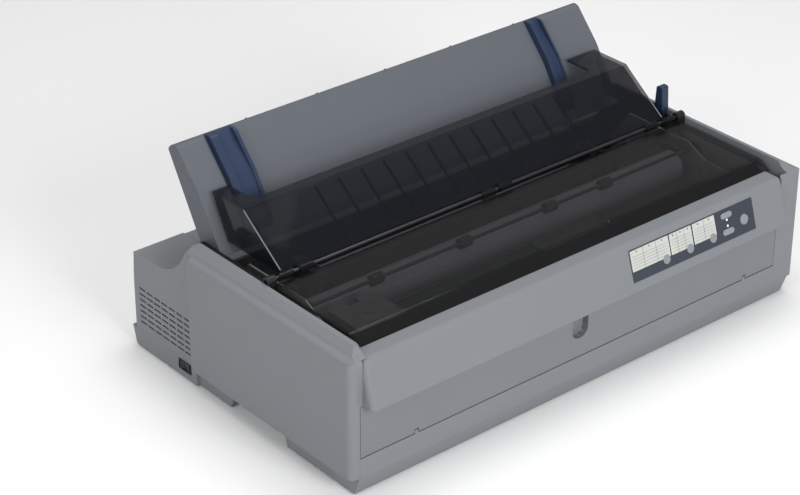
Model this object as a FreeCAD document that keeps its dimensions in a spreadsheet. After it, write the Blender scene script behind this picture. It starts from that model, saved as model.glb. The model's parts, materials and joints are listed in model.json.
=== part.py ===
import FreeCAD, Part
import math
import os
import Sketcher

# Wide-carriage dot matrix printer, in millimetres.
# X runs along the carriage, Y from front to back, Z up. The origin is under the middle, on the table.
# Depths below are measured back from the front of the side pods, heights up from the underside of the case.

CASE_OUTLINE = {
    "pod_half": 319.5, "pod_floor": 22, "pod_depth": 268, "pod_corner": 8, "deck_half": 313,
    "rear_corner": 10, "wall": 3, "foot_height": 2, "rear_reach": 386, "rear_top_depth": 376,
    "deck_height": 118, "deck_step": 3.5, "deck_step_half": 250, "deck_edge_round": 4, "bay_half": 297,
    "bay_rear": 296, "ledge_height": 155.3, "ledge_width": 8, "ledge_rise": 0.8, "ledge_round": 5,
    "band_width": 2.6, "band_rise": 3, "rim_height": 165.5, "rim_width": 5, "rim_fall": 0.8,
    "front_band_depth": 9, "front_rim_depth": 17, "shoulder_depth": 276, "shoulder_foot": 296,
    "shoulder_round": 6, "shoulder_sweep": 60, "shoulder_wall": 2.5,
}
BASE = {
    "base_half": 309.5, "base_front_set": 8, "base_rear_set": 8, "base_rear_lip": 5, "base_chamfer": 3,
    "floor_wall": 3, "sill_height": 44.5, "flap_left": 308, "flap_right": 284, "notch_front": 116,
    "notch_rear": 213, "notch_slope": 7, "notch_deep": 14, "foot_half": 9, "foot_inset": 30,
    "foot_front": 34, "foot_rear": 350, "post_radius": 5,
}
FASCIA = {
    "fascia_reach": 16, "fascia_bottom": 105, "fascia_left": 304, "fascia_right": 286,
    "crease_depth": 0.3, "crease_height": 155.7, "crease_round": 7, "fascia_strip": 21,
    "fascia_lip": 2.4, "fascia_shelf": 6, "fascia_end_round": 6, "fascia_wall": 3,
}
PANEL = {
    "panel_left": 49, "panel_right": 235, "panel_drop": 7, "panel_long": 35.5, "panel_thick": 0.8,
    "panel_sink": 0.5, "key_radius": 5, "key_first": 99.6, "key_second": 135.2, "key_third": 170.3,
    "key_drop": 32.3, "bar_key_place": 194, "bar_key_upper": 14, "bar_key_lower": 32.3,
    "bar_key_long": 17, "bar_key_high": 6.6, "big_key_place": 219.3, "big_key_drop": 26.6,
    "big_key_radius": 5.9, "key_proud": 1, "key_gap": 0.35, "key_flange": 1.2, "key_flange_thick": 1,
    "key_stem": 1.6, "key_stem_long": 2.2, "board_thick": 1.6, "board_margin": 8, "board_high": 27,
    "board_drop": 14, "switch_half": 3, "switch_high": 2.2, "switch_rest": 0.95,
}
FLAP = {
    "flap_gap": 0.5, "flap_thick": 3.6, "flap_top": 104.3, "flap_pin": 1, "flap_ear": 4,
    "flap_ear_space": 0.6, "flap_ear_place": 236, "running_gap": 0.05, "scoop_place": 14,
    "scoop_half": 11, "scoop_bottom": 68, "scoop_deep": 8, "scoop_wall": 2, "flap_rib": 2,
    "flap_rib_deep": 5,
}
PRINTER_COVER = {
    "cover_half": 290.5, "cover_front": 22, "cover_front_height": 153.4, "cover_bend": 38.5,
    "cover_height": 164, "cover_rear": 157, "cover_thick": 2.4, "cover_edge_round": 3,
    "cover_bend_round": 8, "cover_skirt": 154.6, "cover_skirt_rear": 150, "hinge_depth": 162.5,
    "hinge_height": 167.3, "hinge_bar_radius": 2.4, "knuckle_radius": 4.4, "knuckle_long": 18,
    "front_knuckle_place": 281, "hinge_bar_half": 290.5,
}
REAR_COVER = {
    "wing_place": 272.5, "wing_thick": 2.5, "panel_start": 169.5, "panel_start_height": 166,
    "bend_depth": 231, "bend_height": 213, "shelf_rear": 283, "wing_foot": 258.5,
    "wing_foot_height": 164.5, "smoke_thick": 2.5, "slot_left": 251, "slot_right": 229,
    "slot_front": 244, "slot_corner": 12, "rib_pitch": 30.7, "rib_shift": 8.8, "rib_thick": 2,
    "rib_deep": 5, "rear_knuckle_place": 255, "mid_knuckle_place": 24,
}
PAPER_GUIDE = {
    "guide_half": 285, "guide_foot": 257.5, "guide_foot_height": 160.5, "knee_depth": 293,
    "knee_height": 215, "guide_top_depth": 330, "guide_top_height": 255.6, "guide_back_depth": 341.5,
    "guide_back_height": 244.3, "guide_heel_depth": 290.4, "guide_heel_height": 155,
    "guide_sole": 252.5, "guide_sole_height": 152.5, "guide_round": 9, "knee_round": 40,
    "guide_wall": 2.6, "guide_recess": 3, "recess_left": 250, "recess_right": 222,
    "guide_pivot_depth": 266, "guide_pivot_height": 154, "guide_pin": 3, "guide_pin_long": 5,
    "edge_left_out": 247, "edge_left_in": 213, "edge_right_out": 221.4, "edge_right_in": 203,
    "edge_proud": 9, "edge_gap": 0.35, "edge_hollow": 5, "edge_foot": 10,
}
RAILS_AND_LEVER = {
    "rail_inner": 285.8, "rail_outer": 296.6, "rail_front": 157.5, "rail_rear": 284, "rail_top": 159,
    "rail_bottom": 60, "rail_ear": 5, "lever_inner": 289, "lever_thick": 4, "lever_depth": 190,
    "lever_pivot": 118, "lever_half": 5, "lever_top": 170, "lever_swing": 20, "lever_gap": 0.6,
    "lever_hub": 8, "lever_pin": 3, "lever_cap_half": 6, "lever_cap_top": 195, "lever_cap_inner": 286,
    "lever_cap_outer": 296.4, "lever_cap_low": 165, "lever_cap_round": 2.5,
}
FRAMES_AND_PLATEN = {
    "frame_place": 272, "frame_thick": 2, "frame_front": 28, "frame_rear": 250, "frame_top_front": 112,
    "frame_top": 154, "frame_rise": 100, "frame_foot": 14, "platen_depth": 142, "platen_height": 122,
    "platen_radius": 18, "platen_half": 262, "shaft_radius": 5, "gear_inner": 278, "gear_outer": 284,
    "platen_gear_radius": 24, "idler_radius": 12.8, "pinion_radius": 6.4, "second_idler_radius": 9.7,
    "tractor_gear_radius": 20, "mesh_gap": 0.4, "tooth_high": 2.2, "tooth_wide": 2.6, "tooth_tip": 1.1,
    "idler_depth": 172, "idler_height": 100, "pinion_depth": 186, "pinion_height": 86.3,
    "tractor_depth": 225, "tractor_height": 112, "stud_radius": 2.5, "knob_radius": 15,
    "knob_inner": 301.5, "knob_outer": 318, "knob_well": 18, "knob_flute": 1.6, "knob_dish": 9,
    "knob_dish_deep": 3, "motor_radius": 21, "motor_long": 34, "motor_shaft": 2.5, "motor_screw": 1.5,
}
CARRIAGE = {
    "rod_depth": 86, "rod_height": 110, "rod_radius": 6, "carriage_left": 257, "carriage_right": 205,
    "carriage_front": 48, "carriage_rear": 104, "carriage_bottom": 98, "carriage_top": 127,
    "front_rail_depth": 38, "front_rail_height": 121, "front_rail_web": 2, "front_rail_wide": 12,
    "front_rail_high": 14, "cartridge_left": 261, "cartridge_right": 202, "cartridge_front": 54,
    "cartridge_rear": 112, "cartridge_top": 149, "cartridge_round": 5, "cartridge_spool": 17,
    "cartridge_knob": 6, "cartridge_knob_high": 3, "head_half": 12, "head_nose": 121.5,
    "head_bottom": 112, "head_nose_half": 5, "belt_depth": 64, "belt_height": 93, "belt_wide": 6,
    "belt_thick": 1.2, "pulley_radius": 8, "pulley_place": 256, "pulley_bore": 2, "clamp_gap": 0.5,
}
BAIL_AND_TEAR_OFF = {
    "bail_depth": 129.8, "bail_height": 143.2, "bail_roller": 6, "bail_rod": 2, "bail_roller_half": 7,
    "bail_half": 266, "bail_arm": 2, "bail_pivot_depth": 160, "bail_pivot_height": 139,
    "bail_arm_half": 4, "bail_pin": 2, "tear_front": 150, "tear_rear": 166, "tear_low": 146,
    "tear_high": 157.5, "tear_thick": 2, "tear_half": 263,
}
TRACTORS = {
    "tractor_place": 205, "tractor_half": 9, "tractor_long": 62, "tractor_high": 28,
    "tractor_shaft_radius": 4, "tractor_guide_depth": 199, "tractor_guide_radius": 3,
    "tractor_guide_height": 122, "tractor_lid": 3, "tractor_pin_radius": 1.6, "tractor_pin_high": 2.4,
}
INSIDE_AND_REAR = {
    "board_left": 200, "board_right": 150, "main_board_front": 60, "main_board_rear": 250,
    "main_board_height": 12, "chip_high": 5, "supply_left": 296, "supply_right": 210,
    "supply_front": 254, "supply_rear": 362, "supply_high": 60, "switch_front": 278, "switch_rear": 300,
    "switch_low": 8, "switch_top": 20, "switch_frame_wall": 1.5, "switch_deep": 12, "switch_proud": 1,
    "switch_gap": 0.35, "inlet_place": 262, "inlet_half": 14, "inlet_low": 34, "inlet_high": 22,
    "inlet_deep": 18, "port_place": 215, "port_half": 29, "port_low": 32, "port_high": 15,
    "port_deep": 12, "serial_place": 160, "serial_half": 16, "serial_high": 12, "port_frame": 1.5,
    "pan_front": 10, "pan_rear": 118, "pan_front_height": 56, "pan_rear_height": 92, "pan_thick": 1.5,
    "pan_half": 236, "pan_wing_start": 92, "screw_radius": 3.2, "screw_high": 2, "vent_front": 276,
    "vent_rear": 372, "vent_low": 32, "vent_pitch": 6.95, "vent_high": 2.3, "vent_web": 2.4,
    "carriage_motor_radius": 20,
}
WORKING = {
    "overrun": 1,
}
SHEET_PARTS = {
    "Case outline": CASE_OUTLINE, "Base": BASE, "Fascia": FASCIA, "Panel": PANEL, "Flap": FLAP,
    "Printer cover": PRINTER_COVER, "Rear cover": REAR_COVER, "Paper guide": PAPER_GUIDE,
    "Inner rails and lever": RAILS_AND_LEVER, "Frames and platen": FRAMES_AND_PLATEN,
    "Carriage": CARRIAGE, "Bail and tear-off bar": BAIL_AND_TEAR_OFF, "Tractors": TRACTORS,
    "Inside and rear": INSIDE_AND_REAR, "Working": WORKING,
}
VENT_ROWS, VENT_DASHES = 7, 7
PLATEN_TEETH, IDLER_TEETH, PINION_TEETH, SECOND_IDLER_TEETH, TRACTOR_TEETH = 26, 14, 7, 11, 22
FLUTES = 14
RIBS = 12
GUIDE_RIBS = 5
HEAD_SLOTS = 6
TRACTOR_PINS = 5
SUPPLY_SLOTS = 6

# Shares of a length that a piece's own sizes give.
flap_round_share = 0.48
ear_round_share = 0.95
key_end_share = 0.97
scoop_foot_share, scoop_bottom_share = 0.8, 0.9
cover_edge_share = 0.99
belt_end_share = 0.999
rib_start_share, rib_end_share, rib_root_share = 0.12, 0.97, 0.6
web_drop_share, web_low_share, web_high_share = 0.9, 0.2, 0.8
guide_top_share, guide_inner_share = 1.1, 0.9
guide_heel_shares = (1.6, 3.4)
finger_near_share, finger_far_share = 0.2, 0.9
finger_foot_shares = (0.3, 1.6, 1.2)
finger_hollow_shares = (0.3, 0.12, 0.45)
lever_cap_share = 0.7
flange_share = 1.12
carriage_foot_share, head_seat_share = 2.4, 1.5
head_slot_shares = (0.35, 0.65)
cartridge_notch_share = 0.6
motor_can_share = 0.75
bail_roller_shares = (-0.68, -0.23, 0.23, 0.54)
tractor_corner_share, tractor_pin_share = 0.6, 0.35
tractor_reach_share, tractor_lid_share = 1.1, 0.62
chip_shares = ((0.2, 0.3, 0.07), (0.45, 0.55, 0.1), (0.7, 0.3, 0.06), (0.8, 0.7, 0.09))
supply_slot_shares = (0.3, 0.7)
rocker_inset_share, rocker_rear_share, rocker_middle_share, rocker_pin_share = 1.3, 0.15, 0.4, 1.5
tongue_shares = (0.6, 0.42, 0.6)
screw_shares = (0.04, 0.5, 0.96)

doc = FreeCAD.newDocument("dot_matrix_printer")
sheet = doc.addObject("Spreadsheet::Sheet", "sizes")


class Size:
    """A length that remembers how it was worked out, so that a feature can be bound to the sheet."""

    def __init__(self, value, text):
        self.value, self.text = float(value), text

    def __float__(self):
        return self.value

    def __neg__(self):
        return Size(-self.value, "(-1 * " + self.text + ")")

    def joined(self, sign, other, value):
        return Size(value, "(" + self.text + " " + sign + " " + written(other) + ")")

    def __add__(self, other):
        return self.joined("+", other, self.value + float(other))

    def __sub__(self, other):
        return self.joined("-", other, self.value - float(other))

    def __mul__(self, other):
        return self.joined("*", other, self.value * float(other))

    def __truediv__(self, other):
        return self.joined("/", other, self.value / float(other))


def written(value):
    return value.text if isinstance(value, Size) else repr(float(value))


class Sizes:
    """The driving dimensions by name, read back from the sheet."""


d = Sizes()


def fill_sheet():
    row = 1
    for heading, values in SHEET_PARTS.items():
        sheet.set("A" + str(row), heading)
        row += 1
        for alias, value in values.items():
            sheet.set("A" + str(row), alias.replace("_", " "))
            sheet.set("B" + str(row), str(value))
            sheet.setAlias("B" + str(row), alias)
            row += 1
    doc.recompute()
    for values in SHEET_PARTS.values():
        for alias in values:
            setattr(d, alias, Size(sheet.get(alias), "sizes." + alias))


fill_sheet()
front_datum = (d.fascia_reach - d.rear_reach) / 2


def back(depth):
    """A depth measured from the front of the pods, in the part's own frame."""
    return front_datum + depth


def up(height):
    """A height measured from the underside of the case, in the part's own frame."""
    return d.foot_height + height


def side(points):
    """Points of a side view, given as depth and height."""
    return [(back(point[0]), up(point[1])) + tuple(point[2:]) for point in points]


def front(points):
    """Points of a front view, given as place along X and height."""
    return [(point[0], up(point[1])) + tuple(point[2:]) for point in points]


def plan(points):
    """Points of a plan view, given as place along X and depth."""
    return [(point[0], back(point[1])) + tuple(point[2:]) for point in points]


def rectangle(low_a, high_a, low_b, high_b):
    return [(low_a, low_b), (high_a, low_b), (high_a, high_b), (low_a, high_b)]


def hexagon(x, y, inner_radius):
    """Six corners round a circle that fits inside them."""
    reach = inner_radius / math.cos(math.radians(30))
    corners = [math.radians(60 * number) for number in range(6)]
    return [(x + reach * math.cos(angle), y + reach * math.sin(angle)) for angle in corners]


def rounded(low_a, high_a, low_b, high_b, radius):
    return [corner + (radius,) for corner in rectangle(low_a, high_a, low_b, high_b)]


def bind(thing, prop, value):
    """Ties a property to the sheet, where its value comes from there."""
    if isinstance(value, Size):
        thing.setExpression(prop, value.text)


# Sketches: every corner is held at its named place, and a rounded corner by its radius.
PLANE_OF_AXIS = {"X": "YZ_Plane", "Y": "XZ_Plane", "Z": "XY_Plane"}


class Outline:
    """Collects a sketch's curves and the constraints that hold them."""

    def __init__(self, sketch):
        self.sketch, self.rules, self.driven = sketch, [], []

    def hold(self, kind, target, value):
        self.driven.append((len(self.rules), value))
        self.rules.append(Sketcher.Constraint(kind, *target, float(value)))

    def hold_point(self, curve, end, x, y):
        self.hold("DistanceX", (-1, 1, curve, end), x)
        self.hold("DistanceY", (-1, 1, curve, end), y)

    def circle(self, x, y, radius):
        centre = FreeCAD.Vector(float(x), float(y), 0)
        curve = self.sketch.addGeometry(Part.Circle(centre, FreeCAD.Vector(0, 0, 1), float(radius)), False)
        self.hold_point(curve, 3, x, y)
        self.hold("Radius", (curve,), radius)

    def polygon(self, points):
        corners = [FreeCAD.Vector(float(point[0]), float(point[1]), 0) for point in points]
        count = len(points)
        cuts = [self.round_cut(corners, index, points[index]) for index in range(count)]
        lines = []
        for index in range(count):
            start, end = cuts[index][1], cuts[(index + 1) % count][0]
            lines.append(self.sketch.addGeometry(Part.LineSegment(start, end), False))
        for index, point in enumerate(points):
            before, after = lines[index - 1], lines[index]
            if len(point) < 3:
                self.rules.append(Sketcher.Constraint("Coincident", before, 2, after, 1))
                self.hold_point(after, 1, point[0], point[1])
            else:
                self.round_corner(corners[index], cuts[index], before, after, point)

    def round_cut(self, corners, index, point):
        """Where the two runs stop short of a rounded corner: radius over tan of half the corner."""
        corner = corners[index]
        if len(point) < 3:
            return corner, corner
        arriving = (corners[index - 1] - corner).normalize()
        leaving = (corners[(index + 1) % len(corners)] - corner).normalize()
        half = arriving.getAngle(leaving) / 2
        reach = float(point[2]) / math.tan(half)
        return corner + arriving * reach, corner + leaving * reach

    def round_corner(self, corner, cut, before, after, point):
        entry, leave = cut
        arriving = (entry - corner).normalize()
        leaving = (leave - corner).normalize()
        middle = (arriving + leaving).normalize()
        half = arriving.getAngle(leaving) / 2
        radius = float(point[2])
        centre = corner + middle * (radius / math.sin(half))
        near = centre - middle * radius
        arc = self.sketch.addGeometry(Part.Arc(entry, near, leave), False)
        turns_left = arriving.cross(leaving).z < 0
        first, last = (1, 2) if turns_left else (2, 1)
        self.rules.append(Sketcher.Constraint("Tangent", before, 2, arc, first))
        self.rules.append(Sketcher.Constraint("Tangent", arc, last, after, 1))
        self.hold("Radius", (arc,), point[2])
        mark = self.sketch.addGeometry(Part.Point(corner), True)
        self.rules.append(Sketcher.Constraint("PointOnObject", mark, 1, before))
        self.rules.append(Sketcher.Constraint("PointOnObject", mark, 1, after))
        self.hold_point(mark, 1, point[0], point[1])

    def finish(self):
        self.sketch.addConstraint(self.rules)
        for index, value in self.driven:
            bind(self.sketch, "Constraints[" + str(index) + "]", value)


def new_body(name):
    body = doc.addObject("PartDesign::Body", name)
    body.Label = name
    body.AllowCompound = True
    return body


def sketch_at(body, axis, offset, loops):
    """A sketch square to an axis. A loop is a list of corners, or the word circle and its three sizes."""
    sketch = body.newObject("Sketcher::SketchObject", body.Name + "_sketch")
    plane = [item for item in body.Origin.OriginFeatures if item.Role == PLANE_OF_AXIS[axis]][0]
    sketch.AttachmentSupport = [(plane, "")]
    sketch.MapMode = "FlatFace"
    placed = -offset if axis == "Y" else offset
    sketch.AttachmentOffset = FreeCAD.Placement(FreeCAD.Vector(0, 0, float(placed)), FreeCAD.Rotation())
    bind(sketch, "AttachmentOffset.Base.z", placed)
    outline = Outline(sketch)
    for loop in loops:
        if loop[0] == "circle":
            outline.circle(*loop[1:])
        else:
            outline.polygon(loop)
    outline.finish()
    return sketch


def extrude(kind, body, axis, start, end, loops):
    sketch = sketch_at(body, axis, end if axis == "Y" else start, loops)
    feature = body.newObject(kind, body.Name + "_step")
    feature.Profile = sketch
    feature.Length = float(end - start)
    bind(feature, "Length", end - start)
    feature.Refine = True
    return feature


def pad(body, axis, start, end, *loops):
    return extrude("PartDesign::Pad", body, axis, start, end, loops)


def pocket(body, axis, start, end, *loops):
    """Cuts between two places along the axis, and makes sure that something was cut."""
    doc.recompute()
    before = body.Shape.Volume
    feature = extrude("PartDesign::Pocket", body, axis, start, end, loops)
    feature.Reversed = True
    doc.recompute()
    if not body.Shape.Volume < before:
        raise RuntimeError(feature.Name + " cut nothing")
    return feature


def zero():
    return Size(0, "0")


def slab(name, axis, start, end, *loops):
    body = new_body(name)
    pad(body, axis, start, end, *loops)
    return body


def place(thing, x, y, z, rotation=None):
    thing.Placement = FreeCAD.Placement(
        FreeCAD.Vector(float(x), float(y), float(z)), rotation or FreeCAD.Rotation())
    for letter, value in (("x", x), ("y", y), ("z", z)):
        bind(thing, "Placement.Base." + letter, value)


def box(name, low_x, high_x, low_y, high_y, low_z, high_z):
    block = doc.addObject("Part::Box", name)
    block.Label = name
    for prop, value in (("Length", high_x - low_x), ("Width", high_y - low_y), ("Height", high_z - low_z)):
        setattr(block, prop, float(value))
        bind(block, prop, value)
    place(block, low_x, low_y, low_z)
    return block


LENGTHWAYS = FreeCAD.Rotation(FreeCAD.Vector(0, 1, 0), 90)


def rod(name, depth, height, radius, start, end):
    """A round bar along X."""
    bar = doc.addObject("Part::Cylinder", name)
    bar.Label = name
    bar.Radius, bar.Height = float(radius), float(end - start)
    bind(bar, "Radius", radius)
    bind(bar, "Height", end - start)
    place(bar, start, back(depth), up(height), LENGTHWAYS)
    return bar


def post(name, x, depth, radius, low, high):
    """A round bar standing up."""
    bar = doc.addObject("Part::Cylinder", name)
    bar.Label = name
    bar.Radius, bar.Height = float(radius), float(high - low)
    bind(bar, "Radius", radius)
    bind(bar, "Height", high - low)
    place(bar, x, back(depth), up(low))
    return bar


def join(name, *things):
    whole = doc.addObject("Part::MultiFuse", name)
    whole.Label = name
    whole.Shapes = list(things)
    whole.Refine = True
    return whole


def cut(name, base, *tools):
    """Takes the tools from the base one after another. The last cut is the piece."""
    for number, tool in enumerate(tools):
        piece = doc.addObject("Part::Cut", name + "_cut")
        piece.Base, piece.Tool = base, tool
        piece.Label = name if number == len(tools) - 1 else name + " stage " + str(number + 1)
        piece.Refine = True
        base = piece
    return base


def common(name, *things):
    whole = doc.addObject("Part::MultiCommon", name)
    whole.Label = name
    whole.Shapes = list(things)
    whole.Refine = True
    return whole


nodes = []


def node(name, thing):
    """Keeps a finished piece under the name that its file gets."""
    thing.Label = name
    nodes.append(thing)
    return thing


# Case
def mirrored(points):
    """The left half of a front view, from the points of the right half, in the other order."""
    return [(-point[0],) + tuple(point[1:]) for point in reversed(points)]


def upper_case():
    w, deck = d.pod_half, d.deck_half
    plan_outline = plan([(-w, zero(), d.pod_corner), (w, zero(), d.pod_corner), (w, d.pod_depth),
                         (deck, d.pod_depth), (deck, d.rear_reach, d.rear_corner),
                         (-deck, d.rear_reach, d.rear_corner), (-deck, d.pod_depth), (-w, d.pod_depth)])
    from_above = slab("case_from_above", "Z", up(zero()), up(d.rim_height + d.overrun), plan_outline)
    ledge = w - d.ledge_width
    band = ledge - d.band_width
    band_height = d.ledge_height + d.ledge_rise + d.band_rise
    rim = d.bay_half + d.rim_width
    right = [(w, d.pod_floor), (w, d.ledge_height, d.ledge_round), (ledge, d.ledge_height + d.ledge_rise),
             (band, band_height), (rim, d.rim_height - d.rim_fall), (d.bay_half, d.rim_height)]
    from_front = slab("case_from_front", "Y", back(-d.overrun), back(d.rear_reach + d.overrun),
                      front(right + mirrored(right)))
    from_side = slab("case_from_side", "X", -w - d.overrun, w + d.overrun, side([
        (zero(), d.pod_floor), (zero(), d.ledge_height, d.ledge_round),
        (d.front_band_depth, d.ledge_height + d.band_rise), (d.front_rim_depth, d.rim_height),
        (d.shoulder_depth, d.rim_height, d.shoulder_round),
        (d.shoulder_foot, d.deck_height, d.shoulder_sweep),
        (d.rear_top_depth, d.deck_height, d.deck_edge_round), (d.rear_reach, d.pod_floor)]))
    outer = common("case_outer", from_above, from_front, from_side)
    cutters = pod_hollows() + rear_hollows() + case_openings()
    return cut("upper_case", outer, *cutters)


def pod_hollows():
    """The inside of each pod: the outline of its top again, one wall further in."""
    inner, outer = d.bay_half + d.wall, d.pod_half - d.wall
    ledge = d.pod_half - d.ledge_width - d.wall
    profile = [(inner, d.pod_floor + d.wall), (outer, d.pod_floor + d.wall),
               (outer, d.ledge_height - d.wall), (ledge, d.ledge_height + d.ledge_rise - d.wall),
               (inner + d.rim_width, d.rim_height - d.wall - d.band_rise), (inner, d.rim_height - d.wall)]
    ends = back(d.wall), back(d.pod_depth - d.wall)
    low = d.ledge_height - d.wall - d.ledge_round
    nose = side([(d.wall - d.overrun, low), (d.front_rim_depth, d.rim_height),
                 (d.wall - d.overrun, d.rim_height)])
    hollows = []
    for name, points in (("right_pod_inside", profile), ("left_pod_inside", mirrored(profile))):
        inside = slab(name, "Y", ends[0], ends[1], front(points))
        pocket(inside, "X", -d.pod_half, d.pod_half, nose)
        hollows.append(inside)
    return hollows


def rear_hollows():
    half = d.deck_half - d.wall
    top = d.deck_height - d.deck_step - d.wall
    below = d.pod_floor - d.overrun
    rear_low, rear_high = d.rear_reach - d.wall, d.rear_top_depth - d.wall
    main = slab("rear_inside", "X", -half, half, side([
        (d.pod_depth, below), (rear_low, below), (rear_high, top), (d.pod_depth, top)]))
    swept = side([(d.pod_depth, top - d.overrun), (d.pod_depth, d.rim_height - d.wall - d.ledge_width),
                  (d.shoulder_depth - d.shoulder_wall, d.rim_height - d.wall - d.ledge_width),
                  (d.shoulder_foot - d.shoulder_wall, d.deck_height - d.wall, d.shoulder_sweep),
                  (d.rear_top_depth - d.shoulder_sweep / 2, d.deck_height - d.wall),
                  (d.rear_top_depth - d.shoulder_sweep / 2, top - d.overrun)])
    inner = d.bay_half + d.wall
    return [main, slab("right_shoulder_inside", "X", inner, half, swept),
            slab("left_shoulder_inside", "X", -half, -inner, swept)]


def case_openings():
    high = up(d.rim_height + d.overrun * 2)
    below = up(d.pod_floor - d.overrun)
    past_front, past_rear = back(-d.overrun), back(d.rear_reach + d.overrun)
    bay = box("bay", -d.bay_half, d.bay_half, back(d.wall), back(d.bay_rear), below, high)
    above_deck = box("above_deck", -d.bay_half, d.bay_half, back(d.wall), past_rear, up(d.deck_height), high)
    recess = box("deck_recess", -d.deck_step_half, d.deck_step_half, back(d.wall), past_rear,
                 up(d.deck_height - d.deck_step), high)
    flap_hole = box("flap_hole", -d.flap_left, d.flap_right, past_front, back(d.wall + d.overrun),
                    below, up(d.fascia_bottom))
    fascia_hole = box("fascia_hole", -d.fascia_left, d.fascia_right,
                      past_front, back(d.fascia_strip + d.clamp_gap),
                      up(d.fascia_bottom) - d.overrun, up(d.crease_height))
    strip_hole = box("strip_hole", -d.bay_half, d.fascia_right, past_front, back(d.wall + d.overrun),
                     up(d.fascia_bottom), high)
    well = rod("knob_well", d.platen_depth, d.platen_height, d.knob_well, d.bay_half - d.overrun,
               d.pod_half + d.overrun)
    return [bay, above_deck, recess, flap_hole, fascia_hole, strip_hole, well, vents(), rear_sockets()]


def vents():
    """Rows of short slits on the left of the rear part."""
    pitch = (d.vent_rear - d.vent_front) / VENT_DASHES
    cutter = new_body("vents")
    rows = []
    for row in range(VENT_ROWS):
        low = d.vent_low + d.vent_pitch * row
        rows.append(side(rectangle(d.vent_front, d.vent_front + pitch - d.vent_web, low, low + d.vent_high)))
    first = pad(cutter, "X", -d.deck_half - d.overrun, -d.deck_half + d.wall + d.overrun, *rows)
    spread = cutter.newObject("PartDesign::LinearPattern", "vents_along")
    spread.Originals = [first]
    spread.Direction = (first.Profile[0], ["H_Axis"])
    spread.Length = float(pitch * (VENT_DASHES - 1))
    bind(spread, "Length", pitch * (VENT_DASHES - 1))
    spread.Occurrences = VENT_DASHES
    cutter.Tip = spread
    return cutter


def rear_sockets():
    """Openings in the rear wall for the power inlet and the two interface sockets."""
    loops = [
        front(rectangle(-d.inlet_place - d.inlet_half, -d.inlet_place + d.inlet_half,
                        d.inlet_low, d.inlet_low + d.inlet_high)),
        front(rectangle(d.port_place - d.port_half, d.port_place + d.port_half,
                        d.port_low, d.port_low + d.port_high)),
        front(rectangle(d.serial_place - d.serial_half, d.serial_place + d.serial_half,
                        d.port_low, d.port_low + d.serial_high))]
    return slab("rear_sockets", "Y", back(d.rear_top_depth - d.wall * 2),
                back(d.rear_reach + d.overrun), *loops)


def lower_case():
    tray = new_body("lower_case")
    bottom_front, bottom_rear = d.base_front_set, d.rear_reach - d.base_rear_set
    lip = d.rear_reach - d.base_rear_lip
    profile = [(bottom_front, zero()), (bottom_rear, zero()), (lip, d.base_chamfer),
               (d.rear_reach, d.pod_floor), (zero(), d.pod_floor)]
    pad(tray, "X", -d.base_half, d.base_half, side(profile))
    rear = [(d.pod_depth, zero())] + profile[1:4] + [(d.pod_depth, d.pod_floor)]
    pad(tray, "X", -d.deck_half, d.deck_half, side(rear))
    pad(tray, "Y", back(zero()), back(d.wall), front(rectangle(
        -d.flap_left, d.flap_right, d.pod_floor - d.overrun, d.sill_height)))
    for centre in (-d.flap_ear_place, d.flap_ear_place):
        pad(tray, "X", centre - d.flap_ear / 2, centre + d.flap_ear / 2, *flap_ear_loops())
    high = d.pod_floor + d.overrun
    narrow = d.base_half - d.notch_deep - d.wall
    wide = d.base_half - d.wall
    w = d.wall
    hollow_front = [(bottom_front + w, d.floor_wall), (w, high)]
    pocket(tray, "X", -narrow, narrow, side(
        hollow_front + [(d.rear_reach - w, high), (lip - w, d.floor_wall)]))
    for inner, outer in ((narrow, wide), (-wide, -narrow)):
        pocket(tray, "X", inner, outer, side(
            hollow_front + [(d.notch_front - w, high), (d.notch_front - w, d.floor_wall)]))
        pocket(tray, "X", inner, outer, side([
            (d.notch_rear + w, high), (d.notch_rear + w, d.floor_wall),
            (lip - w, d.floor_wall), (d.rear_reach - w, high)]))
    notch = side([(d.notch_front, -d.overrun), (d.notch_front + d.notch_slope, d.pod_floor + d.overrun),
                  (d.notch_rear - d.notch_slope, d.pod_floor + d.overrun), (d.notch_rear, -d.overrun)])
    pocket(tray, "X", d.base_half - d.notch_deep, d.base_half + d.overrun, notch)
    pocket(tray, "X", -d.base_half - d.overrun, -d.base_half + d.notch_deep, notch)
    pocket(tray, "X", -d.deck_half - d.overrun, -wide + d.overrun, side(rectangle(
        d.switch_front, d.switch_rear, d.switch_low, d.switch_top)))
    return tray


def flap_hinge_line():
    """Depth and height of the axis that the flap turns about, along its own lower edge."""
    return d.flap_thick / 2, d.sill_height + d.flap_gap + d.flap_thick / 2


def flap_ear_loops():
    depth, height = flap_hinge_line()
    outer = d.flap_thick / 2
    eye = side([(depth - outer, d.sill_height - d.overrun), (depth + outer, d.sill_height - d.overrun),
                (depth + outer, height + outer, outer * ear_round_share),
                (depth - outer, height + outer, outer * ear_round_share)])
    return [eye, ("circle", back(depth), up(height), d.flap_pin + d.running_gap)]


def rubber_feet():
    """Four square pads, one near each corner of the base."""
    pads = []
    for depth in (d.foot_front, d.foot_rear):
        for place_x in (d.foot_inset - d.base_half, d.base_half - d.foot_inset):
            pads.append(plan(rectangle(place_x - d.foot_half, place_x + d.foot_half,
                                       depth - d.foot_half, depth + d.foot_half)))
    return slab("rubber_feet", "Z", zero(), d.foot_height, *pads)


# Front fascia and its panel
def fascia_tilt():
    """Lean of the fascia's face from upright, from the reach of its lower edge."""
    reach, rise = d.fascia_reach + d.crease_depth, d.crease_height - d.fascia_bottom
    return math.degrees(math.atan2(float(reach), float(rise)))


def face_placement():
    """The frame of the fascia's face: its X along the face, its Y up the face, its Z out of it."""
    turn = FreeCAD.Rotation(FreeCAD.Vector(1, 0, 0), 90 - fascia_tilt())
    return zero(), back(d.crease_depth), up(d.crease_height), turn


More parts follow.
